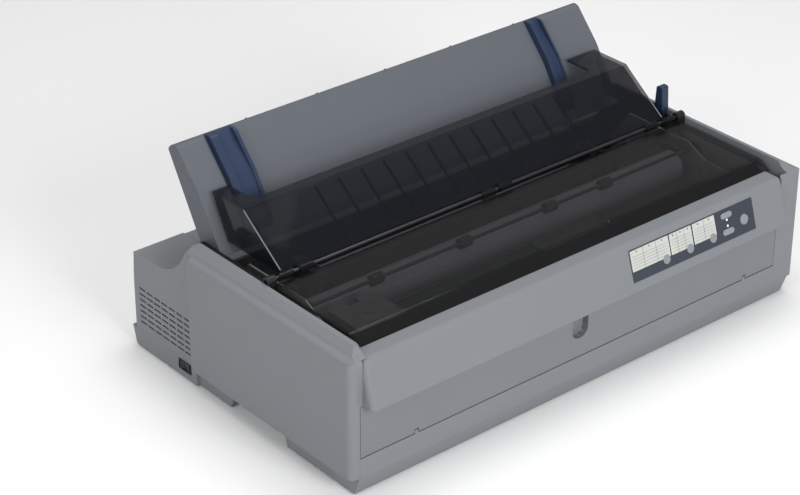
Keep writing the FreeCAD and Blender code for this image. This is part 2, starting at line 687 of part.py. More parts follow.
def inner_face_point(height):
    """A point on the back of the leaning face, one wall behind its front, at a height."""
    lean = math.radians(fascia_tilt())
    depth = -d.fascia_reach + (height - d.fascia_bottom) * math.tan(lean) + d.fascia_wall / math.cos(lean)
    return depth, height


def front_fascia():
    outer_points = [(-d.fascia_reach, d.fascia_bottom), (d.crease_depth, d.crease_height, d.crease_round),
                    (d.fascia_strip, d.crease_height), (d.fascia_strip, d.crease_height - d.fascia_lip),
                    (d.fascia_shelf, d.crease_height - d.fascia_lip), (d.fascia_shelf, d.fascia_bottom)]
    shell = new_body("fascia_shell")
    pad(shell, "X", -d.fascia_left, d.fascia_right, side(outer_points))
    doc.recompute()
    round_ends(shell)
    w = d.fascia_wall
    inside = slab("fascia_inside", "X", -d.fascia_left + w, d.fascia_right - w, side([
        inner_face_point(d.fascia_bottom + w), inner_face_point(d.crease_height - w),
        (d.fascia_shelf, d.crease_height - w), (d.fascia_shelf + d.overrun, d.crease_height - w),
        (d.fascia_shelf + d.overrun, d.fascia_bottom + w)]))
    return cut("front_fascia", shell, inside, panel_pocket(), *key_holes(d.fascia_wall * 2))


def round_ends(shell):
    """Rounds the two upright corners at the ends of the leaning face."""
    edges = []
    block = shell.Tip
    half_rise = float(d.crease_height - d.fascia_bottom) / 2
    for number, edge in enumerate(shell.Shape.Edges):
        ends = edge.BoundBox
        upright = ends.XLength < float(d.overrun) / 100 and ends.ZLength > half_rise
        if upright and ends.YMin < float(back(-d.fascia_reach) + d.overrun):
            edges.append("Edge" + str(number + 1))
    fillet = shell.newObject("PartDesign::Fillet", "fascia_ends")
    fillet.Base = (block, edges)
    fillet.Radius = float(d.fascia_end_round)
    bind(fillet, "Radius", d.fascia_end_round)


def panel_loop(grow):
    top = -d.panel_drop + grow
    return rectangle(d.panel_left - grow, d.panel_right + grow, top - d.panel_long - grow * 2, top)


def on_face(thing):
    x, y, z, turn = face_placement()
    place(thing, x, y, z, turn)
    return thing


def panel_pocket():
    return on_face(slab("panel_pocket", "Z", -d.panel_sink, d.panel_sink * 4, panel_loop(d.running_gap)))


def keys():
    """Each button: name, place along the face, drop down the face, half width, half height, corner."""
    bar = (d.bar_key_long / 2, d.bar_key_high / 2)
    key, big = (d.key_radius, d.key_radius), (d.big_key_radius, d.big_key_radius)
    return [("font_button", d.key_first, d.key_drop) + key, ("pitch_button", d.key_second, d.key_drop) + key,
            ("tear_off_button", d.key_third, d.key_drop) + key,
            ("load_eject_button", d.bar_key_place, d.bar_key_upper) + bar,
            ("line_feed_button", d.bar_key_place, d.bar_key_lower) + bar,
            ("pause_button", d.big_key_place, d.big_key_drop) + big]


def key_loop(x, drop, half_x, half_y, grow):
    if float(half_x) == float(half_y):
        return ("circle", x, -drop, half_x + grow)
    return rounded(x - half_x - grow, x + half_x + grow, -drop - half_y - grow, -drop + half_y + grow,
                   (half_y + grow) * key_end_share)


def square_loop(x, drop, half_x, half_y, grow):
    return rectangle(x - half_x - grow, x + half_x + grow, -drop - half_y - grow, -drop + half_y + grow)


def key_holes(deep):
    """Square holes in the fascia's wall, hidden by the overlay, which has the round ones."""
    return [on_face(slab(name + "_hole", "Z", -deep, deep, square_loop(x, drop, half_x, half_y, d.key_gap)))
            for name, x, drop, half_x, half_y in keys()]


def panel_overlay():
    holes = [key_loop(x, drop, half_x, half_y, d.key_gap) for name, x, drop, half_x, half_y in keys()]
    return on_face(slab("panel_overlay", "Z", -d.panel_sink, -d.panel_sink + d.panel_thick,
                        panel_loop(zero()), *holes))


def button(name, x, drop, half_x, half_y):
    """A cap that stands proud of the panel, a square flange behind the fascia's wall and a short stem."""
    cap = new_body(name)
    top = d.panel_thick - d.panel_sink + d.key_proud
    seat = -d.fascia_wall - d.key_gap
    pad(cap, "Z", seat, top, key_loop(x, drop, half_x, half_y, zero()))
    pad(cap, "Z", seat - d.key_flange_thick, seat, square_loop(x, drop, half_x, half_y, d.key_flange))
    pad(cap, "Z", seat - d.key_flange_thick - d.key_stem_long, seat - d.key_flange_thick,
        square_loop(x, drop, d.key_stem, d.key_stem, zero()))
    return on_face(cap)


def panel_board():
    """The board behind the fascia, with one small switch under each button."""
    board = new_body("panel_board")
    stem_end = -d.fascia_wall - d.key_gap - d.key_flange_thick - d.key_stem_long
    top = stem_end - d.switch_rest - d.switch_high
    pad(board, "Z", top - d.board_thick, top, rectangle(
        d.panel_left + d.board_margin, d.panel_right - d.board_margin / 4,
        -d.board_drop - d.board_high, -d.panel_drop))
    switches = [rectangle(x - d.switch_half, x + d.switch_half, -drop - d.switch_half, -drop + d.switch_half)
                for name, x, drop, half_x, half_y in keys()]
    pad(board, "Z", top, top + d.switch_high, *switches)
    return on_face(board)


# Front flap
def front_cover():
    flap = new_body("front_cover")
    depth, height = flap_hinge_line()
    t = d.flap_thick
    left, right = -d.flap_left + d.flap_gap, d.flap_right - d.flap_gap
    lower_round = t * flap_round_share
    pad(flap, "X", left, right, side([
        (zero(), height - t / 2, lower_round), (t, height - t / 2, lower_round),
        (t, d.flap_top), (zero(), d.flap_top)]))
    low, place_x = d.scoop_bottom, -d.scoop_place
    w = d.scoop_half + d.scoop_wall
    pad(flap, "Y", back(t - d.overrun), back(d.scoop_deep + d.scoop_wall), front([
        (place_x - w, low - d.scoop_wall, w * scoop_foot_share),
        (place_x + w, low - d.scoop_wall, w * scoop_foot_share),
        (place_x + w, d.flap_top - d.scoop_wall), (place_x - w, d.flap_top - d.scoop_wall)]))
    pocket(flap, "Y", back(-d.overrun), back(d.scoop_deep), front([
        (place_x - d.scoop_half, low, d.scoop_half * scoop_bottom_share),
        (place_x + d.scoop_half, low, d.scoop_half * scoop_bottom_share),
        (place_x + d.scoop_half, d.flap_top + d.overrun), (place_x - d.scoop_half, d.flap_top + d.overrun)]))
    reach = t + d.flap_rib_deep
    pad(flap, "Y", back(t - d.overrun), back(reach), front(rectangle(
        -d.bay_half + t, place_x - w - t, d.flap_top - d.flap_rib * 2, d.flap_top - d.flap_rib)))
    pad(flap, "Y", back(t - d.overrun), back(reach), front(rectangle(
        place_x + w + t, right - t, d.flap_top - d.flap_rib * 2, d.flap_top - d.flap_rib)))
    space = d.flap_ear / 2 + d.flap_ear_space
    for centre in (-d.flap_ear_place, d.flap_ear_place):
        pocket(flap, "X", centre - space, centre + space, side(rectangle(
            -d.overrun, t + d.overrun, height - t, height + t)))
        pad(flap, "X", centre - space, centre + space, ("circle", back(depth), up(height), d.flap_pin))
    return flap


# Smoked covers and their hinge bar
def printer_cover():
    cover = new_body("printer_cover")
    t = d.cover_thick
    slope = math.atan2(float(d.cover_height - d.cover_front_height), float(d.cover_bend - d.cover_front))
    low_front = (d.cover_front + t * math.sin(slope), d.cover_front_height - t * math.cos(slope))
    outer = [(d.cover_front, d.cover_front_height), (d.cover_bend, d.cover_height, d.cover_bend_round),
             (d.cover_rear, d.cover_height)]
    inner = [(d.cover_rear, d.cover_height - t),
             (d.cover_bend + t * math.tan(slope / 2), d.cover_height - t, d.cover_bend_round - t), low_front]
    pad(cover, "X", -d.cover_half, d.cover_half, side(outer + inner))
    skirt_front = low_front[0] + (d.cover_skirt - low_front[1]) / math.tan(slope)
    skirt = side([low_front, (d.cover_bend + t, d.cover_height - t / 2),
                  (d.cover_skirt_rear, d.cover_height - t / 2),
                  (d.cover_skirt_rear, d.cover_skirt), (skirt_front, d.cover_skirt)])
    pad(cover, "X", -d.cover_half, -d.cover_half + t, skirt)
    pad(cover, "X", d.cover_half - t, d.cover_half, skirt)
    knuckles(cover, front_knuckles(), d.cover_rear - d.overrun, d.cover_height - t, d.cover_height)
    round_long_edges(cover)
    return cover


def round_long_edges(cover):
    """Rounds the two upper edges over the skirts."""
    r = d.cover_edge_round
    for sign in (-1, 1):
        edge = d.cover_half * sign
        loop = front([(edge + d.overrun * sign, d.cover_height + d.overrun),
                      (edge - r * sign, d.cover_height + d.overrun),
                      (edge - r * sign, d.cover_height), (edge, d.cover_height, r * cover_edge_share),
                      (edge, d.cover_height - r), (edge + d.overrun * sign, d.cover_height - r)])
        pocket(cover, "Y", back(d.cover_front), back(d.cover_rear + d.overrun), loop)


def front_knuckles():
    mid = d.knuckle_long / 2
    return [(-d.front_knuckle_place, -d.front_knuckle_place + d.knuckle_long),
            (-mid, mid), (d.front_knuckle_place - d.knuckle_long, d.front_knuckle_place)]


def rear_knuckles():
    long = d.knuckle_long
    return [(-d.rear_knuckle_place, -d.rear_knuckle_place + long),
            (d.mid_knuckle_place - long / 2, d.mid_knuckle_place + long / 2),
            (d.rear_knuckle_place - long, d.rear_knuckle_place)]


def hinge_bore():
    """The hinge bar turns between six flats."""
    return hexagon(back(d.hinge_depth), up(d.hinge_height), d.hinge_bar_radius + d.running_gap)


def knuckles(cover, spans, web_depth, web_low, web_high):
    """Short tubes on the hinge line, each with a web to the edge of its cover."""
    for low, high in spans:
        pad(cover, "X", low, high, side(rectangle(web_depth, d.hinge_depth, web_low, web_high)))
        pad(cover, "X", low, high, ("circle", back(d.hinge_depth), up(d.hinge_height), d.knuckle_radius))
    for low, high in spans:
        pocket(cover, "X", low, high, hinge_bore())


def rear_cover():
    cover = new_body("rear_cover")
    t, half = d.smoke_thick, d.wing_place
    lean = math.atan2(float(d.bend_height - d.panel_start_height), float(d.bend_depth - d.panel_start))
    start = (d.panel_start, d.panel_start_height)
    pad(cover, "X", -half, half, side([
        start, (d.bend_depth, d.bend_height),
        (d.shelf_rear, d.bend_height), (d.shelf_rear, d.bend_height - t),
        (d.bend_depth + t * math.tan(lean / 2), d.bend_height - t),
        (d.panel_start + t * math.sin(lean), d.panel_start_height - t * math.cos(lean))]))
    for low, high in ((-half, -half + d.wing_thick), (half - d.wing_thick, half)):
        pad(cover, "X", low, high, side([
            (d.panel_start + t * math.sin(lean), d.panel_start_height - t * math.cos(lean)),
            (d.wing_foot, d.wing_foot_height), (d.shelf_rear, d.bend_height - t / 2),
            (d.bend_depth, d.bend_height - t / 2), start]))
    pocket(cover, "Z", up(d.bend_height - t * 3), up(d.bend_height + d.overrun), plan([
        (-d.slot_left, d.slot_front, d.slot_corner), (d.slot_right, d.slot_front, d.slot_corner / 2),
        (d.slot_right, d.shelf_rear + d.overrun), (-d.slot_left, d.shelf_rear + d.overrun)]))
    for number in range(RIBS):
        middle = d.rib_pitch * (number - (RIBS - 1) / 2) - d.rib_shift
        root, edge = t * rib_root_share, t + d.rib_deep
        ribs = []
        for share, drop in ((rib_start_share, root), (rib_end_share, root),
                            (rib_end_share, edge), (rib_start_share, edge)):
            depth = d.panel_start + (d.bend_depth - d.panel_start) * share
            height = d.panel_start_height + (d.bend_height - d.panel_start_height) * share
            ribs.append((depth + drop * math.sin(lean), height - drop * math.cos(lean)))
        pad(cover, "X", middle - d.rib_thick / 2, middle + d.rib_thick / 2, side(ribs))
    web_low = d.panel_start_height - t
    web_loop = [(d.hinge_depth, d.hinge_height - d.knuckle_radius * web_drop_share),
                (start[0] + t, web_low - t * web_low_share),
                (start[0] + t, d.panel_start_height + t * web_high_share),
                (d.hinge_depth, d.hinge_height + t * web_high_share)]
    for low, high in rear_knuckles():
        pad(cover, "X", low, high, side(web_loop))
        pad(cover, "X", low, high, ("circle", back(d.hinge_depth), up(d.hinge_height), d.knuckle_radius))
        pocket(cover, "X", low, high, hinge_bore())
    return cover


# Paper guide
def guide_outline():
    return [(d.guide_sole, d.guide_sole_height), (d.guide_foot, d.guide_foot_height),
            (d.knee_depth, d.knee_height, d.knee_round),
            (d.guide_top_depth, d.guide_top_height, d.guide_round),
            (d.guide_back_depth, d.guide_back_height, d.guide_round / 3),
            (d.guide_heel_depth, d.guide_heel_height)]


def front_face_slopes():
    """Angles of the guide's lower and upper front face."""
    lower = math.atan2(float(d.knee_height - d.guide_foot_height), float(d.knee_depth - d.guide_foot))
    upper = math.atan2(float(d.guide_top_height - d.knee_height), float(d.guide_top_depth - d.knee_depth))
    return lower, upper


def shifted_face(distance):
    """Foot, knee and top of the front face, moved out of the face by a distance (in, when negative)."""
    lower, upper = front_face_slopes()
    middle = (lower + upper) / 2
    bisect = 1 / math.cos((lower - upper) / 2)
    return [(d.guide_foot - distance * math.sin(lower), d.guide_foot_height + distance * math.cos(lower)),
            (d.knee_depth - distance * (math.sin(middle) * bisect),
             d.knee_height + distance * (math.cos(middle) * bisect), d.knee_round),
            (d.guide_top_depth - distance * math.sin(upper), d.guide_top_height + distance * math.cos(upper))]


def paper_guide():
    guide = new_body("paper_guide")
    half, w = d.guide_half, d.guide_wall
    pad(guide, "X", -half, half, side(guide_outline()))
    recess = shifted_face(-d.guide_recess)
    proud = shifted_face(d.overrun * 3)
    tall = [(recess[2][0] + d.guide_round, recess[2][1] + d.guide_round * guide_top_share),
            (proud[2][0] + d.guide_round, proud[2][1] + d.guide_round * guide_top_share)]
    low = [(recess[0][0], recess[0][1]), (recess[1][0], recess[1][1], d.knee_round), recess[2][:2]]
    pocket(guide, "X", -d.recess_left, d.recess_right, side(
        low + tall + [proud[2][:2], proud[1][:2], proud[0][:2]]))
    skin = shifted_face(-d.guide_recess - w)
    heel_in = (d.guide_heel_depth + w * 2, d.guide_heel_height - w)
    pocket(guide, "X", -half + w, half - w, side([
        (skin[0][0] + w, skin[0][1]), (skin[1][0], skin[1][1], d.knee_round), skin[2][:2],
        (d.guide_top_depth + w, d.guide_top_height - d.guide_round * guide_inner_share),
        (d.guide_back_depth - w, d.guide_back_height - w * guide_heel_shares[0]),
        (d.guide_back_depth + w, d.guide_back_height - w * guide_heel_shares[1]),
        (heel_in[0] + w, heel_in[1]), (d.guide_foot + w * 5, d.guide_sole_height - w)]))
    for number in range(GUIDE_RIBS):
        middle = -half + half * 2 / (GUIDE_RIBS + 1) * (number + 1)
        pad(guide, "X", middle - w / 2, middle + w / 2, side([
            (skin[0][0] + w * 2, skin[0][1] + w), (skin[1][0] - w / 2, skin[1][1]), (skin[2][0], skin[2][1]),
            (skin[2][0] + w * 2, skin[2][1] - w * 4), (skin[1][0] + w * 3, skin[1][1] - w * 4),
            (skin[0][0] + w * 5, skin[0][1] - w)]))
    for low_x, high_x in ((-half - d.guide_pin_long, -half + w), (half - w, half + d.guide_pin_long)):
        pad(guide, "X", low_x, high_x,
            ("circle", back(d.guide_pivot_depth), up(d.guide_pivot_height), d.guide_pin))
    return guide


def down_the_face(point, run):
    """A point carried along the slope of the lower front face, up when the run is positive."""
    slope = front_face_slopes()[0]
    return point[0] + run * math.cos(slope), point[1] + run * math.sin(slope)


def edge_guide(name, outer, inner):
    """A finger that stands on the recessed face: a curved heel below, a hollow in its front above."""
    gap, proud = -d.guide_recess + d.edge_gap, d.edge_proud - d.guide_recess
    near, far = shifted_face(gap), shifted_face(proud)
    upper = front_face_slopes()[1]
    foot = d.edge_foot
    run_y, run_z = foot * math.cos(upper), foot * math.sin(upper)
    top_near = near[2][0] - run_y * finger_near_share, near[2][1] - run_z * finger_near_share
    top_far = far[2][0] - run_y * finger_far_share, far[2][1] - run_z * finger_far_share
    finger = new_body(name)
    pad(finger, "X", outer, inner, side([
        down_the_face(near[0], foot * finger_foot_shares[0]), near[1], top_near,
        top_far + (d.edge_hollow,), far[1][:2],
        down_the_face(far[0], foot * finger_foot_shares[1]) + (d.edge_hollow,)]))
    width = inner - outer
    left_share, right_share, deep_share = finger_hollow_shares
    hollow = shifted_face(proud - d.edge_hollow * deep_share)
    beyond = shifted_face(proud + d.overrun)
    pocket(finger, "X", outer + width * left_share, inner - width * right_share, side([
        down_the_face(hollow[0], foot * finger_foot_shares[2]), hollow[1],
        (top_near[0], top_near[1] + d.overrun * 3), (beyond[2][0], beyond[2][1] + d.overrun * 3),
        beyond[1][:2], down_the_face(beyond[0], foot)]))
    return finger


# Inner rails and release lever
def inner_rail(name, sign):
    rail = new_body(name)
    low, high = (d.rail_inner, d.rail_outer) if sign > 0 else (-d.rail_outer, -d.rail_inner)
    ear = d.rail_ear
    pad(rail, "X", low, high, side([
        (d.rail_front, d.rail_bottom), (d.rail_rear, d.rail_bottom), (d.rail_rear, d.rail_top),
        (d.hinge_depth + ear, d.rail_top), (d.hinge_depth + ear, d.hinge_height + ear, ear * ear_round_share),
        (d.rail_front, d.hinge_height + ear, ear * ear_round_share)]))
    pocket(rail, "X", low - d.overrun, high + d.overrun, hinge_bore())
    pocket(rail, "X", low - d.overrun, high + d.overrun,
           ("circle", back(d.guide_pivot_depth), up(d.guide_pivot_height), d.guide_pin + d.running_gap))
    if sign > 0:
        gap = d.lever_gap
        pocket(rail, "X", d.lever_inner - gap, d.lever_inner + d.lever_thick + gap, side(rectangle(
            d.lever_depth - d.lever_swing, d.lever_depth + d.lever_swing,
            d.lever_pivot - d.lever_hub - gap, d.rail_top + d.overrun)))
        pocket(rail, "X", low - d.overrun, high + d.overrun,
               ("circle", back(d.lever_depth), up(d.lever_pivot), d.lever_pin + d.running_gap))
    return rail


def release_lever():
    lever = new_body("release_lever")
    low, high = d.lever_inner, d.lever_inner + d.lever_thick
    depth = d.lever_depth
    pad(lever, "X", low, high, side(rectangle(
        depth - d.lever_half, depth + d.lever_half, d.lever_pivot, d.lever_top)))
    hub = d.lever_hub * math.cos(math.radians(30))
    pad(lever, "X", low, high, hexagon(back(depth), up(d.lever_pivot), hub))
    pad(lever, "X", d.rail_inner, d.rail_outer, ("circle", back(depth), up(d.lever_pivot), d.lever_pin))
    pad(lever, "X", d.lever_cap_inner, d.lever_cap_outer, side([
        (depth - d.lever_cap_half, d.lever_cap_low, d.lever_cap_round),
        (depth + d.lever_cap_half, d.lever_cap_low, d.lever_cap_round),
        (depth + d.lever_cap_half * lever_cap_share, d.lever_cap_top, d.lever_cap_round),
        (depth - d.lever_cap_half * lever_cap_share, d.lever_cap_top, d.lever_cap_round)]))
    return lever


# Frames, platen and gears
def side_frame(name, sign):
    frame = new_body(name)
    low, high = (d.frame_place, d.frame_place + d.frame_thick)
    if sign < 0:
        low, high = -high, -low
    base = d.floor_wall
    pad(frame, "X", low, high, side([
        (d.frame_front, base), (d.frame_rear, base), (d.frame_rear, d.frame_top_front),
        (d.frame_rear - d.frame_foot * 2, d.frame_top), (d.frame_rise + d.frame_foot * 2, d.frame_top),
        (d.frame_rise, d.frame_top - d.frame_foot),
        (d.frame_front + d.frame_foot, d.frame_top - d.frame_foot),
        (d.frame_front, d.frame_top_front)]))
    foot_low, foot_high = (high - d.frame_foot, high) if sign > 0 else (low, low + d.frame_foot)
    pad(frame, "Z", up(base), up(base + d.frame_thick), plan(rectangle(
        foot_low, foot_high, d.frame_front, d.frame_rear)))
    bores = [(d.platen_depth, d.platen_height, d.shaft_radius),
             (d.tractor_depth, d.tractor_height, d.tractor_shaft_radius),
             (d.bail_pivot_depth, d.bail_pivot_height, d.bail_pin)]
    if sign < 0:
        bores = bores + [(d.pinion_depth, d.pinion_height, d.motor_shaft + d.running_gap * 4)]
    pocket(frame, "X", low - d.overrun, high + d.overrun, *[
        ("circle", back(depth), up(height), radius + d.running_gap) for depth, height, radius in bores])
    if sign < 0:
        for depth, height in ((d.idler_depth, d.idler_height),) + (second_idler_place(),):
            pad(frame, "X", -d.gear_outer, low, ("circle", back(depth), up(height), d.stud_radius))
    return frame


def second_idler_place():
    """On the line from the pinion to the tractor gear, one mesh away from the pinion."""
    run_y = float(d.tractor_depth - d.pinion_depth)
    run_z = float(d.tractor_height - d.pinion_height)
    length = math.hypot(run_y, run_z)
    reach = d.pinion_radius + d.mesh_gap + d.second_idler_radius
    return d.pinion_depth + reach * (run_y / length), d.pinion_height + reach * (run_z / length)


def gear(name, depth, height, radius, teeth, bore, start, end):
    """A toothed wheel about X on six flats: a disc to the root circle and one tooth copied round it."""
    wheel = new_body(name)
    root = radius - d.tooth_high
    disc = pad(wheel, "Z", zero(), end - start, ("circle", zero(), zero(), root),
               hexagon(zero(), zero(), bore))
    tooth = pad(wheel, "Z", zero(), end - start, [
        (-d.tooth_wide / 2, root - d.tooth_high / 2), (d.tooth_wide / 2, root - d.tooth_high / 2),
        (d.tooth_tip / 2, radius), (-d.tooth_tip / 2, radius)])
    pattern = wheel.newObject("PartDesign::PolarPattern", name + "_teeth")
    pattern.Originals = [tooth]
    pattern.Axis = (disc.Profile[0], ["N_Axis"])
    pattern.Angle = 360
    pattern.Occurrences = teeth
    wheel.Tip = pattern
    place(wheel, start, back(depth), up(height), LENGTHWAYS)
    return wheel


def feed_knob():
    """A fluted knob on the end of the platen shaft, dished on its outer face."""
    knob = new_body("feed_knob")
    long = d.knob_outer - d.knob_inner
    disc = pad(knob, "Z", zero(), long, ("circle", zero(), zero(), d.knob_radius))
    flute = pocket(knob, "Z", -d.overrun, long + d.overrun, [
        (zero(), d.knob_radius - d.knob_flute), (d.knob_flute, d.knob_radius + d.overrun),
        (-d.knob_flute, d.knob_radius + d.overrun)])
    pattern = knob.newObject("PartDesign::PolarPattern", "knob_flutes")
    pattern.Originals = [flute]
    pattern.Axis = (disc.Profile[0], ["N_Axis"])
    pattern.Angle = 360
    pattern.Occurrences = FLUTES
    knob.Tip = pattern
    pocket(knob, "Z", long - d.knob_dish_deep, long + d.overrun, ("circle", zero(), zero(), d.knob_dish))
    place(knob, d.knob_inner, back(d.platen_depth), up(d.platen_height), LENGTHWAYS)
    return knob


def platen():
    """A rubber sleeve on a hollow core."""
    return slab("platen", "X", -d.platen_half, d.platen_half,
                ("circle", back(d.platen_depth), up(d.platen_height), d.platen_radius),
                ("circle", back(d.platen_depth), up(d.platen_height), d.shaft_radius))


def platen_shaft():
    return rod("platen_shaft", d.platen_depth, d.platen_height, d.shaft_radius, -d.gear_outer, d.knob_inner)


def feed_motor():
    inner = -d.frame_place
    motor = new_body("feed_motor")
    centre = back(d.pinion_depth), up(d.pinion_height)
    pad(motor, "X", inner, inner + d.motor_long, ("circle",) + centre + (d.motor_radius,))
    flange = d.motor_radius * flange_share
    pad(motor, "X", inner, inner + d.motor_screw * 2, rectangle(
        centre[0] - flange, centre[0] + flange, centre[1] - flange, centre[1] + flange))
    pocket(motor, "X", inner - d.overrun, inner + d.motor_long / 2,
           hexagon(centre[0], centre[1], d.motor_shaft + d.running_gap))
    return motor


def feed_pinion():
    toothed = gear("pinion_teeth", d.pinion_depth, d.pinion_height, d.pinion_radius, PINION_TEETH,
                   d.motor_shaft / 2, -d.gear_outer, -d.gear_inner)
    shaft = rod("pinion_shaft", d.pinion_depth, d.pinion_height, d.motor_shaft,
                -d.gear_outer, -d.frame_place + d.motor_long / 2 - d.clamp_gap)
    return join("feed_pinion", toothed, shaft)


# Carriage
def carriage():
    block = new_body("carriage")
    low, high = -d.carriage_left, -d.carriage_right
    pad(block, "X", low, high, side([
        (d.carriage_front, d.carriage_top - d.cartridge_round),
        (d.carriage_front + d.cartridge_round, d.carriage_top),
        (d.carriage_rear, d.carriage_top), (d.carriage_rear, d.carriage_bottom + d.cartridge_round),
        (d.carriage_rear - d.cartridge_round, d.carriage_bottom),
        (d.rod_depth - d.rod_radius * 2, d.carriage_bottom),
        (d.rod_depth - d.rod_radius * carriage_foot_share, d.front_rail_height + d.clamp_gap),
        (d.carriage_front, d.front_rail_height + d.clamp_gap)]))
    pocket(block, "X", low - d.overrun, high + d.overrun,
           ("circle", back(d.rod_depth), up(d.rod_height), d.rod_radius + d.running_gap))
    seat = d.head_half + d.clamp_gap
    middle = (low + high) / 2
    pocket(block, "X", middle - seat, middle + seat, side(rectangle(
        d.rod_depth + d.rod_radius * head_seat_share, d.carriage_rear + d.overrun,
        d.head_bottom, d.carriage_top + d.overrun)))
    pad(block, "X", middle - d.head_half, middle + d.head_half, side(rectangle(
        d.front_rail_depth + d.front_rail_wide / 2, d.carriage_front + d.overrun,
        d.front_rail_height + d.clamp_gap, d.carriage_top - d.cartridge_round)))
    return block


def print_head():
    """A finned body with a narrow nose that faces the platen."""
    head = new_body("print_head")
    middle = -(d.carriage_left + d.carriage_right) / 2
    start = d.rod_depth + d.rod_radius * head_seat_share
    low, high = d.head_bottom, d.carriage_top
    neck = d.carriage_rear + d.head_nose_half
    pad(head, "Z", up(low), up(high), plan([
        (middle - d.head_half, start), (middle + d.head_half, start), (middle + d.head_half, d.carriage_rear),
        (middle + d.head_nose_half, neck), (middle + d.head_nose_half, d.head_nose),
        (middle - d.head_nose_half, d.head_nose), (middle - d.head_nose_half, neck),
        (middle - d.head_half, d.carriage_rear)]))
    pitch = d.head_half * 2 / HEAD_SLOTS
    slots = []
    for number in range(HEAD_SLOTS):
        edges = [middle - d.head_half + pitch * (number + share) for share in head_slot_shares]
        slots.append(plan(rectangle(*edges, start - d.overrun, d.carriage_rear - d.head_nose_half)))
    pocket(head, "Z", up(high - d.head_nose_half), up(high + d.overrun), *slots)
    return head


def ribbon_cartridge():
    """A flat box over the carriage, with a gap for the head, two raised spools and a winding knob."""
    box_body = new_body("ribbon_cartridge")
    low, high = -d.cartridge_left, -d.cartridge_right
    middle = (low + high) / 2
    r = d.cartridge_round
    notch = d.head_half * cartridge_notch_share
    pad(box_body, "Z", up(d.carriage_top), up(d.cartridge_top - d.cartridge_knob_high), plan([
        (low, d.cartridge_front, r), (high, d.cartridge_front, r), (high, d.cartridge_rear, r),
        (middle + notch, d.cartridge_rear), (middle + notch, d.cartridge_rear - r * 2),
        (middle - notch, d.cartridge_rear - r * 2), (middle - notch, d.cartridge_rear),
        (low, d.cartridge_rear, r)]))
    top = d.cartridge_top - d.cartridge_knob_high
    depth = (d.cartridge_front + d.cartridge_rear) / 2 - r
    pad(box_body, "Z", up(top), up(top + d.cartridge_knob_high / 2),
        ("circle", middle, back(depth), d.cartridge_spool))
    pad(box_body, "Z", up(top), up(d.cartridge_top), ("circle", middle, back(depth), d.cartridge_knob))
    return box_body


def carriage_rail():
    """A folded channel that the front of the carriage slides on."""
    depth, height = d.front_rail_depth, d.front_rail_height
    wide, high, web = d.front_rail_wide, d.front_rail_high, d.front_rail_web
    return slab("carriage_rail", "X", -d.frame_place, d.frame_place, side([
        (depth - wide / 2, height - high), (depth - wide / 2 + web, height - high),
        (depth - wide / 2 + web, height - web), (depth + wide, height - web), (depth + wide, height),
        (depth - wide / 2, height)]))


def drive_belt():
    """A flat loop round the two pulleys."""
    outer, inner = d.pulley_radius + d.belt_thick, d.pulley_radius
    belt = new_body("drive_belt")
    half = d.pulley_place
    low, high = up(d.belt_height), up(d.belt_height + d.belt_wide)
    loops = []
    for radius in (outer, inner):
        loops.append(rounded(-half - radius, half + radius, back(d.belt_depth) - radius,
                             back(d.belt_depth) + radius, radius * belt_end_share))
    pad(belt, "Z", low, high, *loops)
    return belt


def belt_pulley(name, x):
    """A standing pulley, a hair smaller than the inside of the belt, on a six-sided flange."""
    wheel = new_body(name)
    low, high = d.belt_height - d.overrun, d.belt_height + d.belt_wide
    centre = x, back(d.belt_depth)
    pad(wheel, "Z", up(low), up(high), ("circle",) + centre + (d.pulley_radius - d.mesh_gap,),
        hexagon(x, centre[1], d.pulley_bore + d.running_gap))
    flange = d.pulley_radius + d.belt_thick
    pad(wheel, "Z", up(low - d.overrun), up(low), hexagon(x, centre[1], flange),
        hexagon(x, centre[1], d.pulley_bore + d.running_gap))
    return wheel


def carriage_motor():
    """The motor stands under the left pulley, on a bracket from the floor."""
    top = d.belt_height - d.overrun * 2 - d.clamp_gap
    body = post("motor_can", -d.pulley_place, d.belt_depth,
                d.carriage_motor_radius * motor_can_share, d.floor_wall + d.frame_thick, top)
    spindle = post("motor_spindle", -d.pulley_place, d.belt_depth, d.pulley_bore,
                   top, d.belt_height + d.belt_wide)
    return join("carriage_motor", body, spindle)


def pulley_post():
    """The pillar and spindle of the free pulley at the right."""
    top = d.belt_height - d.overrun * 2 - d.clamp_gap
    pillar = box("pillar", d.pulley_place - d.pulley_radius, d.pulley_place + d.pulley_radius,
                 back(d.belt_depth) - d.pulley_radius, back(d.belt_depth) + d.pulley_radius,
                 up(d.floor_wall + d.frame_thick), up(top))
    spindle = post("pillar_spindle", d.pulley_place, d.belt_depth, d.pulley_bore,
                   top, d.belt_height + d.belt_wide)
    return join("pulley_post", pillar, spindle)


# Bail and tear-off bar
def paper_bail():
    bail = new_body("paper_bail")
    pad(bail, "X", -d.bail_half, d.bail_half, ("circle", back(d.bail_depth), up(d.bail_height), d.bail_rod))
    half = d.bail_arm_half
    for low, high in ((-d.bail_half, -d.bail_half + d.bail_arm), (d.bail_half - d.bail_arm, d.bail_half)):
        pad(bail, "X", low, high, side([
            (d.bail_depth - half, d.bail_height + half / 2), (d.bail_depth - half, d.bail_height - half / 2),
            (d.bail_depth - half / 2, d.bail_height - half),
            (d.bail_pivot_depth + half / 2, d.bail_pivot_height - half),
            (d.bail_pivot_depth + half, d.bail_pivot_height - half / 2),
            (d.bail_pivot_depth + half, d.bail_pivot_height + half / 2),
            (d.bail_pivot_depth + half / 2, d.bail_pivot_height + half),
            (d.bail_depth - half / 2, d.bail_height + half)]))
    for low, high in ((-d.frame_place - d.frame_thick, -d.bail_half + d.bail_arm),
                      (d.bail_half - d.bail_arm, d.frame_place + d.frame_thick)):
        pad(bail, "X", low, high, ("circle", back(d.bail_pivot_depth), up(d.bail_pivot_height), d.bail_pin))
    return bail


